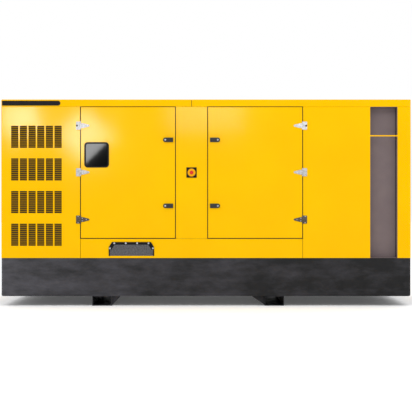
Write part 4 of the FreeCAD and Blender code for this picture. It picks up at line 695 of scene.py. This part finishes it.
# %% Levers
ARC_POINTS = 14
LEVER_HALF = 23.5 * MM
LEVER_REACH = 88.5 * MM         # from the key to the square end
LEVER_CORNER = 4 * MM
BARREL_PROUD = 2.2 * MM
LOCK_PLATE = 6.3 * MM
SCOOP = (30 * MM, 8 * MM)       # from the square end, where it starts and stops
SCOOP_HALF, SCOOP_DEEP = 15 * MM, 1.2 * MM
SPINDLE = 11.9 * MM             # radius
CAM_BACK, CAM_REACH = 13 * MM, 72 * MM
CAM_HALF, CAM_PLATE = 13 * MM, 5 * MM
BARREL = ((0.0, 10.5), (1.4, 10.5), (1.9, 10.0), (1.9, 8.8), (1.3, 8.4), (1.3, 3.2),
          (0.2, 3.2), (0.2, 0.0))


def lever_outline(key_x, key_z, sign, tip):
    """Half a circle about the barrel, and two square corners with a small cut."""
    angles = [math.pi * i / ARC_POINTS for i in range(ARC_POINTS + 1)]
    arc = [(key_x - sign * LEVER_HALF * math.sin(a), key_z + LEVER_HALF * math.cos(a))
           for a in angles]
    cut_x = tip - sign * LEVER_CORNER
    low_z, high_z = key_z - LEVER_HALF, key_z + LEVER_HALF
    return arc + [(cut_x, low_z), (tip, low_z + LEVER_CORNER), (tip, high_z - LEVER_CORNER),
                  (cut_x, high_z)]


def lever_lock(node, sign, out):
    """The grip, the key barrel and the cam of one lock, all on the lever's body."""
    low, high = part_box(node)
    key_x, key_y, key_z = JOINTS[node + "_turn"]["pos_m"]
    outer_y, inner_y = (low.y, high.y) if out < 0 else (high.y, low.y)
    face_y = outer_y - out * BARREL_PROUD
    back_y = key_y + out * LOCK_PLATE
    tip = key_x + sign * LEVER_REACH
    grip = bmesh.new()
    extruded(grip, lever_outline(key_x, key_z, sign, tip), face_y, back_y, 3.0 * MM)
    block(grip, [tip - sign * along for along in SCOOP], (face_y, face_y + out * SCOOP_DEEP),
          (key_z - SCOOP_HALF, key_z + SCOOP_HALF), 0.5 * MM)
    made = piece(node + "_grip", grip, GLASS_NYLON, node)
    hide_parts(node)
    barrel = bmesh.new()
    turned(barrel, (key_x, face_y, key_z), (0, out, 0), scaled(BARREL), 32)
    piece(node + "_barrel", barrel, ZINC, node)
    cam = bmesh.new()
    turned(cam, (key_x, back_y, key_z), (0, -out, 0),
           [(0, SPINDLE), (abs(inner_y - back_y), SPINDLE)], 32)
    block(cam, (key_x - sign * CAM_BACK, key_x + sign * CAM_REACH),
          (inner_y, inner_y + out * CAM_PLATE), (key_z - CAM_HALF, key_z + CAM_HALF), 1.0 * MM)
    piece(node + "_cam", cam, ZINC, node)


for door, facts in DOORS.items():
    for level in ("lower", "upper"):
        lever_lock(f"{door}_{level}_lever", facts["sign"], facts["out"])

# %% [markdown]
# ## Emergency stop
#
# The red mushroom stands on a yellow legend disc, 93 mm across, which is printed on the
# real one. Here it stays plain. A flat disc would look like a sticker, so this one has a
# thin raised rim and a low collar round the button.

# %% Legend disc
LEGEND = ((0.0, 46.5), (1.2, 46.5), (1.9, 45.6), (1.9, 44.6), (1.3, 44.0), (1.3, 18.0),
          (1.7, 17.4), (1.7, 11.6), (0.0, 11.6))
box_low, box_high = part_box("estop_box")
stop = ((box_low.x + box_high.x) / 2, box_low.y, (box_low.z + box_high.z) / 2)
legend = bmesh.new()
turned(legend, stop, (0, -1, 0), scaled(LEGEND), 64)
piece("estop_legend_disc", legend, YELLOW_POLYCARBONATE, "set")

# %% [markdown]
# ## Rubber in the door gaps
#
# A black edge profile is clipped round each opening. It fills most of the 8 mm gap, so
# that the gap reads as a thin dark line and no yellow light bounces in it. It stops
# short of the door and sits behind the skin, so the door swings clear of it. Its thin
# lip folds over the edge of the sheet and shows beside the gap.

# %% Gap profiles
PROFILE, TOP_PROFILE = 5.2 * MM, 3.6 * MM
PROFILE_CLEAR = 0.2 * MM        # between the profile and the edge of the opening
PROFILE_EDGE = 0.8 * MM
GAP, TOP_GAP = 8.0 * MM, 5.5 * MM
SET_BACK = (5 * MM, 26 * MM)    # behind the skin
LIP = 3.0 * MM                  # shows on the skin beside the gap
LIP_OVER = 0.8 * MM             # and into it
LIP_DEPTH = (-0.1 * MM, 0.8 * MM)
gaps = bmesh.new()
for facts in DOORS.values():
    left, right = facts["low"].x - GAP, facts["high"].x + GAP
    bottom, top = facts["low"].z - GAP, facts["high"].z + TOP_GAP
    inside = [facts["skin_y"] - facts["out"] * depth for depth in SET_BACK]
    proud = [facts["skin_y"] + facts["out"] * depth for depth in LIP_DEPTH]
    for x in (left + PROFILE_CLEAR, right - PROFILE_CLEAR - PROFILE):
        block(gaps, (x, x + PROFILE), inside, (bottom, top), PROFILE_EDGE)
    for zs in ((bottom + PROFILE_CLEAR, bottom + PROFILE), (top - TOP_PROFILE, top)):
        block(gaps, (left, right), inside, zs, PROFILE_EDGE)
    for x in (left - LIP, right - LIP_OVER):
        block(gaps, (x, x + LIP + LIP_OVER), proud, (bottom - LIP, top))
    for zs in ((bottom - LIP, bottom + LIP_OVER), (top, top + LIP)):
        block(gaps, (left, right), proud, zs)
piece("door_gap_profiles", gaps, EPDM, "set")

# %% [markdown]
# ## Cable outlet
#
# The black clamping bar is held by six plated dome nuts. Behind it a thin rubber gasket
# lies on the paint round the opening, so no yellow shows between the bar and the flap.
# Plain discs could stand for the nuts, but a dome catches one bright point of light.

# %% Outlet gasket
GASKET_INSET = 3 * MM           # from the clamping bar's own edge
GASKET_THICK = 0.25 * MM
HOLE_SIDE, HOLE_BELOW, HOLE_ABOVE = 65 * MM, 38 * MM, 54 * MM
CUT_ACROSS, CUT_DOWN = 40 * MM, 63 * MM            # the bar's sloping upper corners
clamp_low, clamp_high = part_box("cable_outlet_frame")
hole_left, hole_right = clamp_low.x + HOLE_SIDE, clamp_high.x - HOLE_SIDE
gasket_bottom, gasket_top = clamp_low.z + GASKET_INSET, clamp_high.z - GASKET_INSET
gasket_y = (front_y - GASKET_THICK, front_y + 0.1 * MM)
gasket = bmesh.new()
for outer, inner, sign in ((clamp_low.x, hole_left, 1), (clamp_high.x, hole_right, -1)):
    edge_x = outer + sign * GASKET_INSET
    outline = [(edge_x, gasket_bottom), (inner, gasket_bottom), (inner, gasket_top),
               (outer + sign * CUT_ACROSS, gasket_top), (edge_x, clamp_high.z - CUT_DOWN)]
    extruded(gasket, outline, *gasket_y)
for zs in ((clamp_high.z - HOLE_ABOVE, gasket_top), (gasket_bottom, clamp_low.z + HOLE_BELOW)):
    block(gasket, (hole_left, hole_right), gasket_y, zs)
piece("cable_outlet_gasket", gasket, EPDM, "set")

# %% Outlet nuts
DOME_NUT = ((0.0, 10.5), (1.3, 10.5), (1.6, 8.7), (4.4, 8.7), (5.8, 7.4), (6.6, 4.5), (6.8, 0.0))
CLAMP_PLATE = 8 * MM
NUT_INSET, SIDE_NUT_DOWN = 14 * MM, 74 * MM
TOP_NUTS = 4
nut_step = (hole_right - hole_left) / (TOP_NUTS - 1)
nut_places = [(hole_left + i * nut_step, clamp_high.z - NUT_INSET) for i in range(TOP_NUTS)]
nut_places += [(x, clamp_high.z - SIDE_NUT_DOWN)
               for x in (clamp_low.x + NUT_INSET, clamp_high.x - NUT_INSET)]
nuts = bmesh.new()
for x, z in nut_places:
    turned(nuts, (x, front_y - CLAMP_PLATE, z), (0, -1, 0), scaled(DOME_NUT), 24)
piece("cable_outlet_nuts", nuts, ZINC, "set")

# %% [markdown]
# ## Roof joint
#
# The two roof panels meet over the centre post on a rubber strip, whose edge shows as a
# short black line on each side of the roof. A dark line in the paint would do from far
# away, but a strip that stands a little proud also catches the light.

# %% Roof joint strip
STRIP_HALF, STRIP_PROUD = 3 * MM, 0.7 * MM
roof_low, roof_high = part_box("left_roof_panel")
joint_x = (roof_high.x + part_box("right_roof_panel")[0].x) / 2
joint = bmesh.new()
for out in (-1, 1):
    block(joint, (joint_x - STRIP_HALF, joint_x + STRIP_HALF),
          (out * (abs(front_y) - 1 * MM), out * (abs(front_y) + STRIP_PROUD)),
          (roof_low.z + 2 * MM, roof_high.z - 8 * MM), 0.3 * MM)
piece("roof_joint_strip", joint, EPDM, "set")

# %% [markdown]
# ## Foam
#
# The doors are lined with convoluted foam: rows of soft bumps that trap sound. It could
# be a bump texture, but an open door shows its edge, so the bumps are real. One function
# lays a grid over the door, leaves out the cells where the window and the lock
# spindles are, and closes the sides, so that the foam is one solid slab.

# %% A foam slab
BUMP_PITCH = 60 * MM
CELLS_PER_BUMP = 4


def foam_slab(shape, xs, zs, y_back, inward, holes, thick, bumps):
    """A slab on the plane y_back whose bumps face along inward, between limits in x and z.
    holes are (x, z, half width, half height). bumps is the bumps' share of the thickness."""
    cell = BUMP_PITCH / CELLS_PER_BUMP
    across, up = (max(2, round((high - low) / cell)) for low, high in (xs, zs))
    grid_x = [xs[0] + (xs[1] - xs[0]) * i / across for i in range(across + 1)]
    grid_z = [zs[0] + (zs[1] - zs[0]) * j / up for j in range(up + 1)]
    pairs = {}

    def kept(i, j):
        if not (0 <= i < across and 0 <= j < up):
            return False
        x, z = (grid_x[i] + grid_x[i + 1]) / 2, (grid_z[j] + grid_z[j + 1]) / 2
        return not any(abs(x - hx) < hw and abs(z - hz) < hh for hx, hz, hw, hh in holes)

    def corner(i, j):
        if (i, j) not in pairs:
            x, z = grid_x[i], grid_z[j]
            wave = math.sin(2 * math.pi * x / BUMP_PITCH) * math.sin(2 * math.pi * z / BUMP_PITCH)
            height = thick * (1 - bumps + bumps * wave)
            pairs[i, j] = (shape.verts.new((x, y_back + inward * height, z)),
                           shape.verts.new((x, y_back, z)))
        return pairs[i, j]

    for i in range(across):
        for j in range(up):
            if not kept(i, j):
                continue
            ring = [corner(i, j), corner(i + 1, j), corner(i + 1, j + 1), corner(i, j + 1)]
            shape.faces.new([front for front, _ in ring])
            shape.faces.new([back for _, back in reversed(ring)])
            beside = ((i, j - 1), (i + 1, j), (i, j + 1), (i - 1, j))
            for k, place in enumerate(beside):
                if not kept(*place):
                    (front_0, back_0), (front_1, back_1) = ring[k], ring[(k + 1) % 4]
                    shape.faces.new((front_1, front_0, back_0, back_1))


# %% Door linings
SHEET = 3.2 * MM
FOLDED_EDGE = 6 * MM            # the lining stays inside the folded edge of the door
SPINDLE_CLEAR = 40 * MM
WINDOW_CLEAR = 8 * MM
pane_low, pane_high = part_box("window_seal")
window_hole = ((pane_low.x + pane_high.x) / 2, (pane_low.z + pane_high.z) / 2,
               (pane_high.x - pane_low.x) / 2 + WINDOW_CLEAR,
               (pane_high.z - pane_low.z) / 2 + WINDOW_CLEAR)
for door, facts in DOORS.items():
    holes = [window_hole] if door == "front_left" else []
    for level in ("lower", "upper"):
        key = JOINTS[f"{door}_{level}_lever_turn"]["pos_m"]
        holes.append((key[0], key[2], SPINDLE_CLEAR, SPINDLE_CLEAR))
    foam = bmesh.new()
    foam_slab(foam, (facts["low"].x + FOLDED_EDGE, facts["high"].x - FOLDED_EDGE),
              (facts["low"].z + FOLDED_EDGE, facts["high"].z - FOLDED_EDGE),
              facts["skin_y"] - facts["out"] * SHEET, -facts["out"], holes, 20 * MM, 0.45)
    lining = piece(door + "_foam", foam, FOAM, door + "_door")

# %% [markdown]
# ## Foam behind the louvres
#
# Air is drawn in past a mat of black foam, which is why the slots look black from
# outside. Plain black behind them would do from the front, but not from above, where
# one can look in along the mat.

# %% Louvre mats
MAT_DEPTH = 36 * MM             # from the skin to the mat's back
panel_low, panel_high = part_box("louvre_panels")
door_edge = DOORS["front_left"]["low"].x - GAP
for side, out in (("front", -1), ("rear", 1)):
    mat = bmesh.new()
    foam_slab(mat, (panel_low.x + 70 * MM, door_edge - 60 * MM),
              (panel_low.z + 50 * MM, panel_high.z - 50 * MM), out * (abs(front_y) - MAT_DEPTH),
              out, (), 24 * MM, 0.25)
    piece(f"{side}_louvre_mat", mat, FOAM, "set")

# %% [markdown]
# ## Edge strips of the air outlet
#
# The grey lining of the outlet ends in a dark folded strip along each upright edge,
# which frames the recess with a thin dark line. The strips are placed from the right
# end of the set: the corner panel, then the recess.

# %% Outlet strips
CORNER_PANEL, OUTLET_WIDTH = 156 * MM, 320 * MM
OUTLET_SKIN = 3 * MM
OUTLET_DEPTH = 97 * MM
STRIP, STRIP_THICK = 6 * MM, 8 * MM
outlet_right = HIGH.x - CORNER_PANEL
wall_low, wall_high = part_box("front_side_panels")
strips = bmesh.new()
for out in (-1, 1):
    back_y = out * (abs(front_y) - OUTLET_DEPTH)
    for x in (outlet_right - OUTLET_WIDTH, outlet_right - OUTLET_SKIN - STRIP):
        block(strips, (x, x + STRIP), (back_y, back_y + out * STRIP_THICK),
              (wall_low.z + 5 * MM, wall_high.z - 8 * MM), 1.0 * MM)
piece("outlet_edge_strips", strips, SATIN_BLACK, "set")

# %% [markdown]
# ## Bolts and screws inside
#
# The covers on the cylinder head are pulled down by flanged hexagon bolts, and the lid of
# the terminal box by pan screws. Hexagon heads come from the same turning function
# with six steps, standing on a round flange. The places of both are read from the
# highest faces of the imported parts.

# %% Bolts of the rocker covers
HEX_HEAD = ((0.0, 7.5), (6.5, 7.5), (8.0, 6.2), (8.0, 0.0))
FLANGE = ((0.0, 11.0), (1.5, 11.0), (3.0, 8.0), (3.0, 0.0))
COVERS = 6
COVER_LENGTH, COVER_RISE = 170 * MM, 85 * MM
BOLT_ACROSS = 90 * MM           # from the middle of the engine


def high_points(node, height):
    """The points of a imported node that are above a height."""
    return [v.co for v in frame["nodes"][node].data.vertices if v.co.z > height]


head_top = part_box("cylinder_head")[1].z
cover_x = [point.x for point in high_points("cylinder_head", head_top - COVER_RISE + MM)]
first_cover = min(cover_x) + COVER_LENGTH / 2
cover_pitch = (max(cover_x) - COVER_LENGTH / 2 - first_cover) / (COVERS - 1)
cover_bolts = bmesh.new()
for i in range(COVERS):
    for y in (-BOLT_ACROSS, BOLT_ACROSS):
        spot = (first_cover + i * cover_pitch, y, head_top)
        turned(cover_bolts, spot, (0, 0, 1), scaled(FLANGE), 24)
        turned(cover_bolts, spot, (0, 0, 1), scaled(HEX_HEAD), 6)
piece("rocker_cover_bolts", cover_bolts, ZINC, "set")

# %% Screws of the terminal box
PAN_HEAD = ((0.0, 6.0), (2.2, 6.0), (3.2, 5.0), (3.6, 3.0), (2.4, 2.6), (2.4, 0.0))
LID_INSET = 16 * MM
lid_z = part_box("generator_stator")[1].z
lid = high_points("generator_stator", lid_z - MM)
lid_x = (min(p.x for p in lid), max(p.x for p in lid))
lid_y = (min(p.y for p in lid), max(p.y for p in lid))
lid_screws = bmesh.new()
for x in (lid_x[0] + LID_INSET, (lid_x[0] + lid_x[1]) / 2, lid_x[1] - LID_INSET):
    for y in (lid_y[0] + LID_INSET, lid_y[1] - LID_INSET):
        turned(lid_screws, (x, y, lid_z), (0, 0, 1), scaled(PAN_HEAD))
piece("terminal_box_screws", lid_screws, ZINC, "set")

# %% [markdown]
# ## Fan belt
#
# A flat ribbed belt drives the fan from the crankshaft pulley. Its run is two arcs and
# the two straight lines that touch them both. The bigger pulley is below, so the straight
# runs lean in toward the top, by the angle whose sine is the difference of the
# radii over the distance between the shafts. A curve drawn by hand would be quicker, but
# it wouldn't touch the pulleys exactly.

# %% Belt
BELT_WIDTH, BELT_THICK = 23 * MM, 5 * MM
GROOVE_DEPTH = 9.8 * MM
CRANK_PULLEY, FAN_PULLEY = 130 * MM, 104 * MM      # radii
BELT_FROM_END = 25 * MM         # back from the front end of the crankshaft
ARC_STEPS = 32
crank_z = JOINTS["crankshaft_spin"]["pos_m"][2]
fan_z = JOINTS["radiator_fan_spin"]["pos_m"][2]
belt_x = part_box("crankshaft")[1].x - BELT_FROM_END
lean = math.asin((CRANK_PULLEY - FAN_PULLEY) / (fan_z - crank_z))


def belt_run(radius_change):
    """The belt's loop of (y, z), first round the lower pulley, then round the upper one."""
    loop = []
    arcs = ((crank_z, CRANK_PULLEY, math.pi - lean, 2 * math.pi + lean),
            (fan_z, FAN_PULLEY, lean, math.pi - lean))
    for centre_z, pulley, start, end in arcs:
        radius = pulley - GROOVE_DEPTH + radius_change
        for i in range(ARC_STEPS + 1):
            angle = start + (end - start) * i / ARC_STEPS
            loop.append((radius * math.cos(angle), centre_z + radius * math.sin(angle)))
    return loop


belt = bmesh.new()
rings = [[belt.verts.new((belt_x + side * BELT_WIDTH / 2, y, z)) for y, z in belt_run(change)]
         for side, change in ((-1, 0), (1, 0), (1, BELT_THICK), (-1, BELT_THICK))]
for ring, beside in zip(rings, rings[1:] + rings[:1]):
    for i in range(len(ring)):
        j = (i + 1) % len(ring)
        belt.faces.new((ring[i], ring[j], beside[j], beside[i]))
piece("fan_drive_belt", belt, EPDM, "set")

# %% [markdown]
# ## Radiator fins
#
# The core is a block of flat tubes with folded aluminium between them. Seen from
# outside it is a row of fine upright bars. Stripes in the finish would be cheaper, but
# they look flat from the side. Real fins stand 10 mm apart; these stand 14 mm apart,
# so that they can be told from one another.

# %% Fins
FIN_PITCH = 14 * MM
FIN_PROUD, FIN_THICK = 4 * MM, 2.5 * MM
CORE_INSET, SIDE_TANK = 45 * MM, 36 * MM
LOWER_TANK, FIN_START, FIN_END = 110 * MM, 4 * MM, 1016 * MM
radiator_low, radiator_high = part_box("radiator")
core_bottom = radiator_low.z + LOWER_TANK
half_core = radiator_high.y - SIDE_TANK
fins = bmesh.new()
for i in range(int(2 * half_core / FIN_PITCH) + 1):
    y = -half_core + i * FIN_PITCH
    for core_x, side in ((radiator_low.x + CORE_INSET, -1), (radiator_high.x - CORE_INSET, 1)):
        block(fins, (core_x, core_x + side * FIN_PROUD), (y, y + FIN_THICK),
              (core_bottom + FIN_START, core_bottom + FIN_END))
piece("radiator_fins", fins, BLACK_ALUMINIUM, "set")

# %% [markdown]
# ## Battery caps
#
# A starter battery of this size has six cells, each with a screwed vent cap. The caps are
# moulded in another plastic than the case, so that they catch the light a little
# differently and each cell is found quickly.

# %% Battery caps
CELLS = 6
BATTERY_LENGTH = 520 * MM
CASE_TOP = 780 * MM             # above the floor
CAPS_IN = 60 * MM               # from the near side of the case
VENT_CAP = ((0.0, 13.0), (3.0, 13.0), (4.0, 12.0), (4.0, 8.5), (7.5, 8.0), (8.5, 7.0), (8.5, 0.0))
battery_low, battery_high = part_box("batteries")
caps = bmesh.new()
for left in (battery_low.x, battery_high.x - BATTERY_LENGTH):
    for cell in range(CELLS):
        x = left + BATTERY_LENGTH * (cell + 0.5) / CELLS
        turned(caps, (x, battery_low.y + CAPS_IN, CASE_TOP), (0, 0, 1), scaled(VENT_CAP), 24)
piece("battery_caps", caps, ABS_TRIM, "set")

# %% [markdown]
# ## Control panel
#
# Behind the window is a hinged panel with a controller in it: a dark moulded bezel, a
# display that is off, a row of buttons, and three lamps below. A slim rubber edge shows
# round the panel. Nothing is lettered. The controller is centred a little above the
# middle of the window, so that it is read through it with the door shut.

# %% Panel and controller
DISPLAY_GLASS = moulded("display_polycarbonate", "0F1512", "141C18", 0.14, 6.0, 0.01)
CABINET_FACE = -690 * MM        # y of the cabinet's front
PANEL_DOWN = 265 * MM           # from the top of the cabinet to the panel's middle
cabinet_low, cabinet_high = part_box("control_cabinet")
window_low, window_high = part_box("window_glass")
centre_x = (window_low.x + window_high.x) / 2
centre_z = (window_low.z + window_high.z) / 2 + 20 * MM
panel_x = (cabinet_low.x + cabinet_high.x) / 2
panel_z = cabinet_high.z - PANEL_DOWN
# Name, finish, slot, x and z of the middle; then width, height, start, stop and edge, in mm.
PANEL_PLATES = (
    ("control_panel_gasket", EPDM, "seal_rubber", panel_x, panel_z, 440, 500, 0, 2.0, 0.6),
    ("control_panel", CABINET_COAT, "cabinet_paint", panel_x, panel_z, 434, 494, 1.0, 5.0, 1.2),
    ("controller_bezel", ABS_TRIM, "black_trim", centre_x, centre_z, 238, 176, 5, 20, 5),
    ("controller_display", DISPLAY_GLASS, "breaker_black", centre_x, centre_z + 22 * MM,
     150, 88, 19, 20.8, 0.4),
)
for name, finish, slot, x, z, width, height, start, stop_at, edge in PANEL_PLATES:
    plate = bmesh.new()
    block(plate, (x - width / 2 * MM, x + width / 2 * MM),
          (CABINET_FACE - stop_at * MM, CABINET_FACE - start * MM),
          (z - height / 2 * MM, z + height / 2 * MM), edge * MM)
    piece(name, plate, finish, "set")

# %% [markdown]
# ## Buttons, lamps and locks of the panel
#
# The buttons are soft silicone pads, rounded at the rim. The lamps are glossy domes on a
# collar: red for a fault, amber for a warning and green for running, all of them off.
# Two quarter-turn locks hold the panel shut.

# %% Buttons, lamps and locks
SILICONE_GREY = moulded("grey_silicone", "6E7174", "7C7F82", 0.55, 3.0, 0.05)
LAMP_GREEN = moulded("green_polycarbonate", "146B34", "1A7D3E", 0.2, 6.0, 0.02, Coat_Weight=0.6)
LAMP_AMBER = moulded("amber_polycarbonate", "B96A08", "C8780C", 0.2, 6.0, 0.02, Coat_Weight=0.6)
BUTTON = ((0.0, 8.5), (1.6, 8.5), (2.6, 7.6), (3.0, 5.0), (3.1, 0.0))
LAMP = ((0.0, 14.0), (3.0, 14.0), (3.0, 11.5), (7.0, 11.0), (10.0, 8.5), (11.5, 4.5), (12.0, 0.0))
QUARTER_TURN = ((0.0, 14.0), (2.0, 14.0), (3.0, 13.0), (3.0, 6.0), (1.8, 5.6), (1.8, 0.0))
BUTTON_PITCH, BUTTONS_DOWN = 38 * MM, 56 * MM
LAMP_PITCH, LAMPS_DOWN = 70 * MM, 150 * MM
LOCK_INSET, LOCK_UP = 34 * MM, 200 * MM


def on_face(shape, x, z, from_mm, profile):
    """A round part that stands out from the cabinet's face, from from_mm in front of it."""
    turned(shape, (x, CABINET_FACE - from_mm * MM, z), (0, -1, 0), scaled(profile), 32)


buttons = bmesh.new()
for i in (-2, -1, 0, 1, 2):
    on_face(buttons, centre_x + i * BUTTON_PITCH, centre_z - BUTTONS_DOWN, 20, BUTTON)
piece("controller_buttons", buttons, SILICONE_GREY, "set")
for name, step, finish, slot in (("fault_lamp", -1, RED_POLYCARBONATE, "estop_red"),
                                 ("warning_lamp", 0, LAMP_AMBER, "yellow_paint"),
                                 ("running_lamp", 1, LAMP_GREEN, "cabinet_paint")):
    lamp = bmesh.new()
    on_face(lamp, centre_x + step * LAMP_PITCH, centre_z - LAMPS_DOWN, 5, LAMP)
    piece(name, lamp, finish, "set")
panel_locks = bmesh.new()
for z in (panel_z - LOCK_UP, panel_z + LOCK_UP):
    on_face(panel_locks, cabinet_high.x - LOCK_INSET, z, 5, QUARTER_TURN)
piece("control_panel_locks", panel_locks, ZINC, "set")

# %% [markdown]
# ## Sky
#
# A machine this glossy shows its surroundings, so the light is built from large, plain
# shapes. The sky is white at the horizon and brighter overhead, like a white studio with
# a lit ceiling. A picture of a studio could light it too, but two numbers are enough
# here, and they are easy to change.

# %% Sky
SKY_AT_HORIZON, SKY_OVERHEAD = 1.0, 1.3
world = bpy.data.worlds.new("studio")
bpy.context.scene.world = world
world.use_nodes = True
sky = world.node_tree
up_axis = add(sky, "SeparateXYZ", Vector=add(sky, "TexCoord").outputs["Generated"])
lift = add(sky, "MapRange", Value=up_axis.outputs["Z"], From_Min=0.25, From_Max=1.0,
           To_Min=SKY_AT_HORIZON, To_Max=SKY_OVERHEAD)
sky.links.new(lift.outputs["Result"], sky.nodes["Background"].inputs["Strength"])
sky.nodes["Background"].inputs["Color"].default_value = (1, 1, 1, 1)
print("sky from", SKY_AT_HORIZON, "to", SKY_OVERHEAD)

# %% [markdown]
# ## Soft boxes
#
# One long soft box hangs high in front and lights the floor and the front skin. A small,
# strong one stands low at the left and lights only the base, which is black and would
# hardly show otherwise. The other pieces don't see it.

# %% Lamps that light
def soft_box(name, centre, aim, width, height, radiance):
    """A lamp panel that looks radiance times as bright as white paper, facing the point aim."""
    data = bpy.data.lights.new(name, "AREA")
    data.shape = "RECTANGLE"
    data.size = width
    data.size_y = height
    data.energy = radiance * math.pi * width * height
    made = bpy.data.objects.new(name, data)
    made.location = centre
    made.rotation_euler = (Vector(aim) - Vector(centre)).to_track_quat("-Z", "Y").to_euler()
    bpy.context.scene.collection.objects.link(made)
    print(f"{name}: {width} x {height} m, radiance {radiance}")
    return made


def only_these(name, nodes):
    """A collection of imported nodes, for a lamp that lights them and nothing else."""
    made = bpy.data.collections.new(name)
    for node in nodes:
        made.objects.link(frame["nodes"][node])
    return made


soft_box("ceiling_soft_box", (0.0, -5.5, 6.0), (0, -1.5, 0.0), 8.0, 2.0, 2.0)
side_box = soft_box("side_soft_box", (-5.0, -3.0, 1.0), (-2.2, -0.8, 0.4), 1.4, 1.4, 26.0)
side_box.light_linking.receiver_collection = only_these("lit_by_the_side_box", ["base_frame"])

# %% [markdown]
# ## Reflection boxes
#
# Three boxes stand in front only to be reflected. The first is a little turned: the sheet
# metal spreads its reflection into a pale cloud over the louvres. The second stands on
# its corner, and the window cuts its edge as a slanting line. The third, weaker and
# wider, does the same over the middle. They are very bright, so only the front skin, the
# front doors and the window see them, as if small black flags shaded all the rest.

# %% Lamps to be reflected
REFLECTION_Y = -6.8
REFLECTION_BOXES = (           # name, x, z, width, height, radiance, degrees turned
    ("corner_soft_box", -3.25, 2.70, 0.60, 0.60, 95.0, 20),
    ("window_soft_box", -2.14, 2.41, 0.72, 0.72, 75.0, 45),
    ("middle_soft_box", 0.0, 2.85, 1.30, 0.70, 20.0, 0),
)
shiny = only_these("shows_the_reflection_boxes", (
    "louvre_panels", "front_side_panels", "front_left_door", "front_right_door", "window_glass"))
for name, x, z, width, height, radiance, turned_by in REFLECTION_BOXES:
    box = soft_box(name, (x, REFLECTION_Y, z), (x, 0, z), width, height, radiance)
    box.rotation_euler.rotate_axis("Z", math.radians(turned_by))
    box.visible_diffuse = False
    box.light_linking.receiver_collection = shiny

# %% [markdown]
# ## Floor
#
# The floor is a light table: opal acrylic that is lit a little from below. In the open it
# is simply white, and in the shadow under the base it keeps the black from closing up.

# %% Floor
FLOOR_HALF = 60.0               # metres, far enough to meet the sky
FLOOR_GLOW = 0.08
floor_mesh = bpy.data.meshes.new("floor")
shape = bmesh.new()
bmesh.ops.create_grid(shape, x_segments=1, y_segments=1, size=FLOOR_HALF)
shape.to_mesh(floor_mesh)
shape.free()
floor = bpy.data.objects.new("floor", floor_mesh)
bpy.context.scene.collection.objects.link(floor)
opal, floor_tree, floor_shader, floor_where = material(
    "opal_acrylic", "FAFAFA", 0.9, Specular_IOR_Level=0.0, Emission_Color=(1, 1, 1, 1),
    Emission_Strength=FLOOR_GLOW)
mottle(floor_tree, floor_where, floor_shader, 900, "F8F8F8", "FCFCFC")
floor_mesh.materials.append(opal)

# %% [markdown]
# ## Tone
#
# The plain display transform keeps the paint's yellow as strong as it is mixed. A film-like
# one would be gentler in the highlights, but it would grey the yellow.

# %% Tone
bpy.context.scene.view_settings.view_transform = "Standard"
bpy.context.scene.view_settings.look = "None"
print("view transform", bpy.context.scene.view_settings.view_transform)
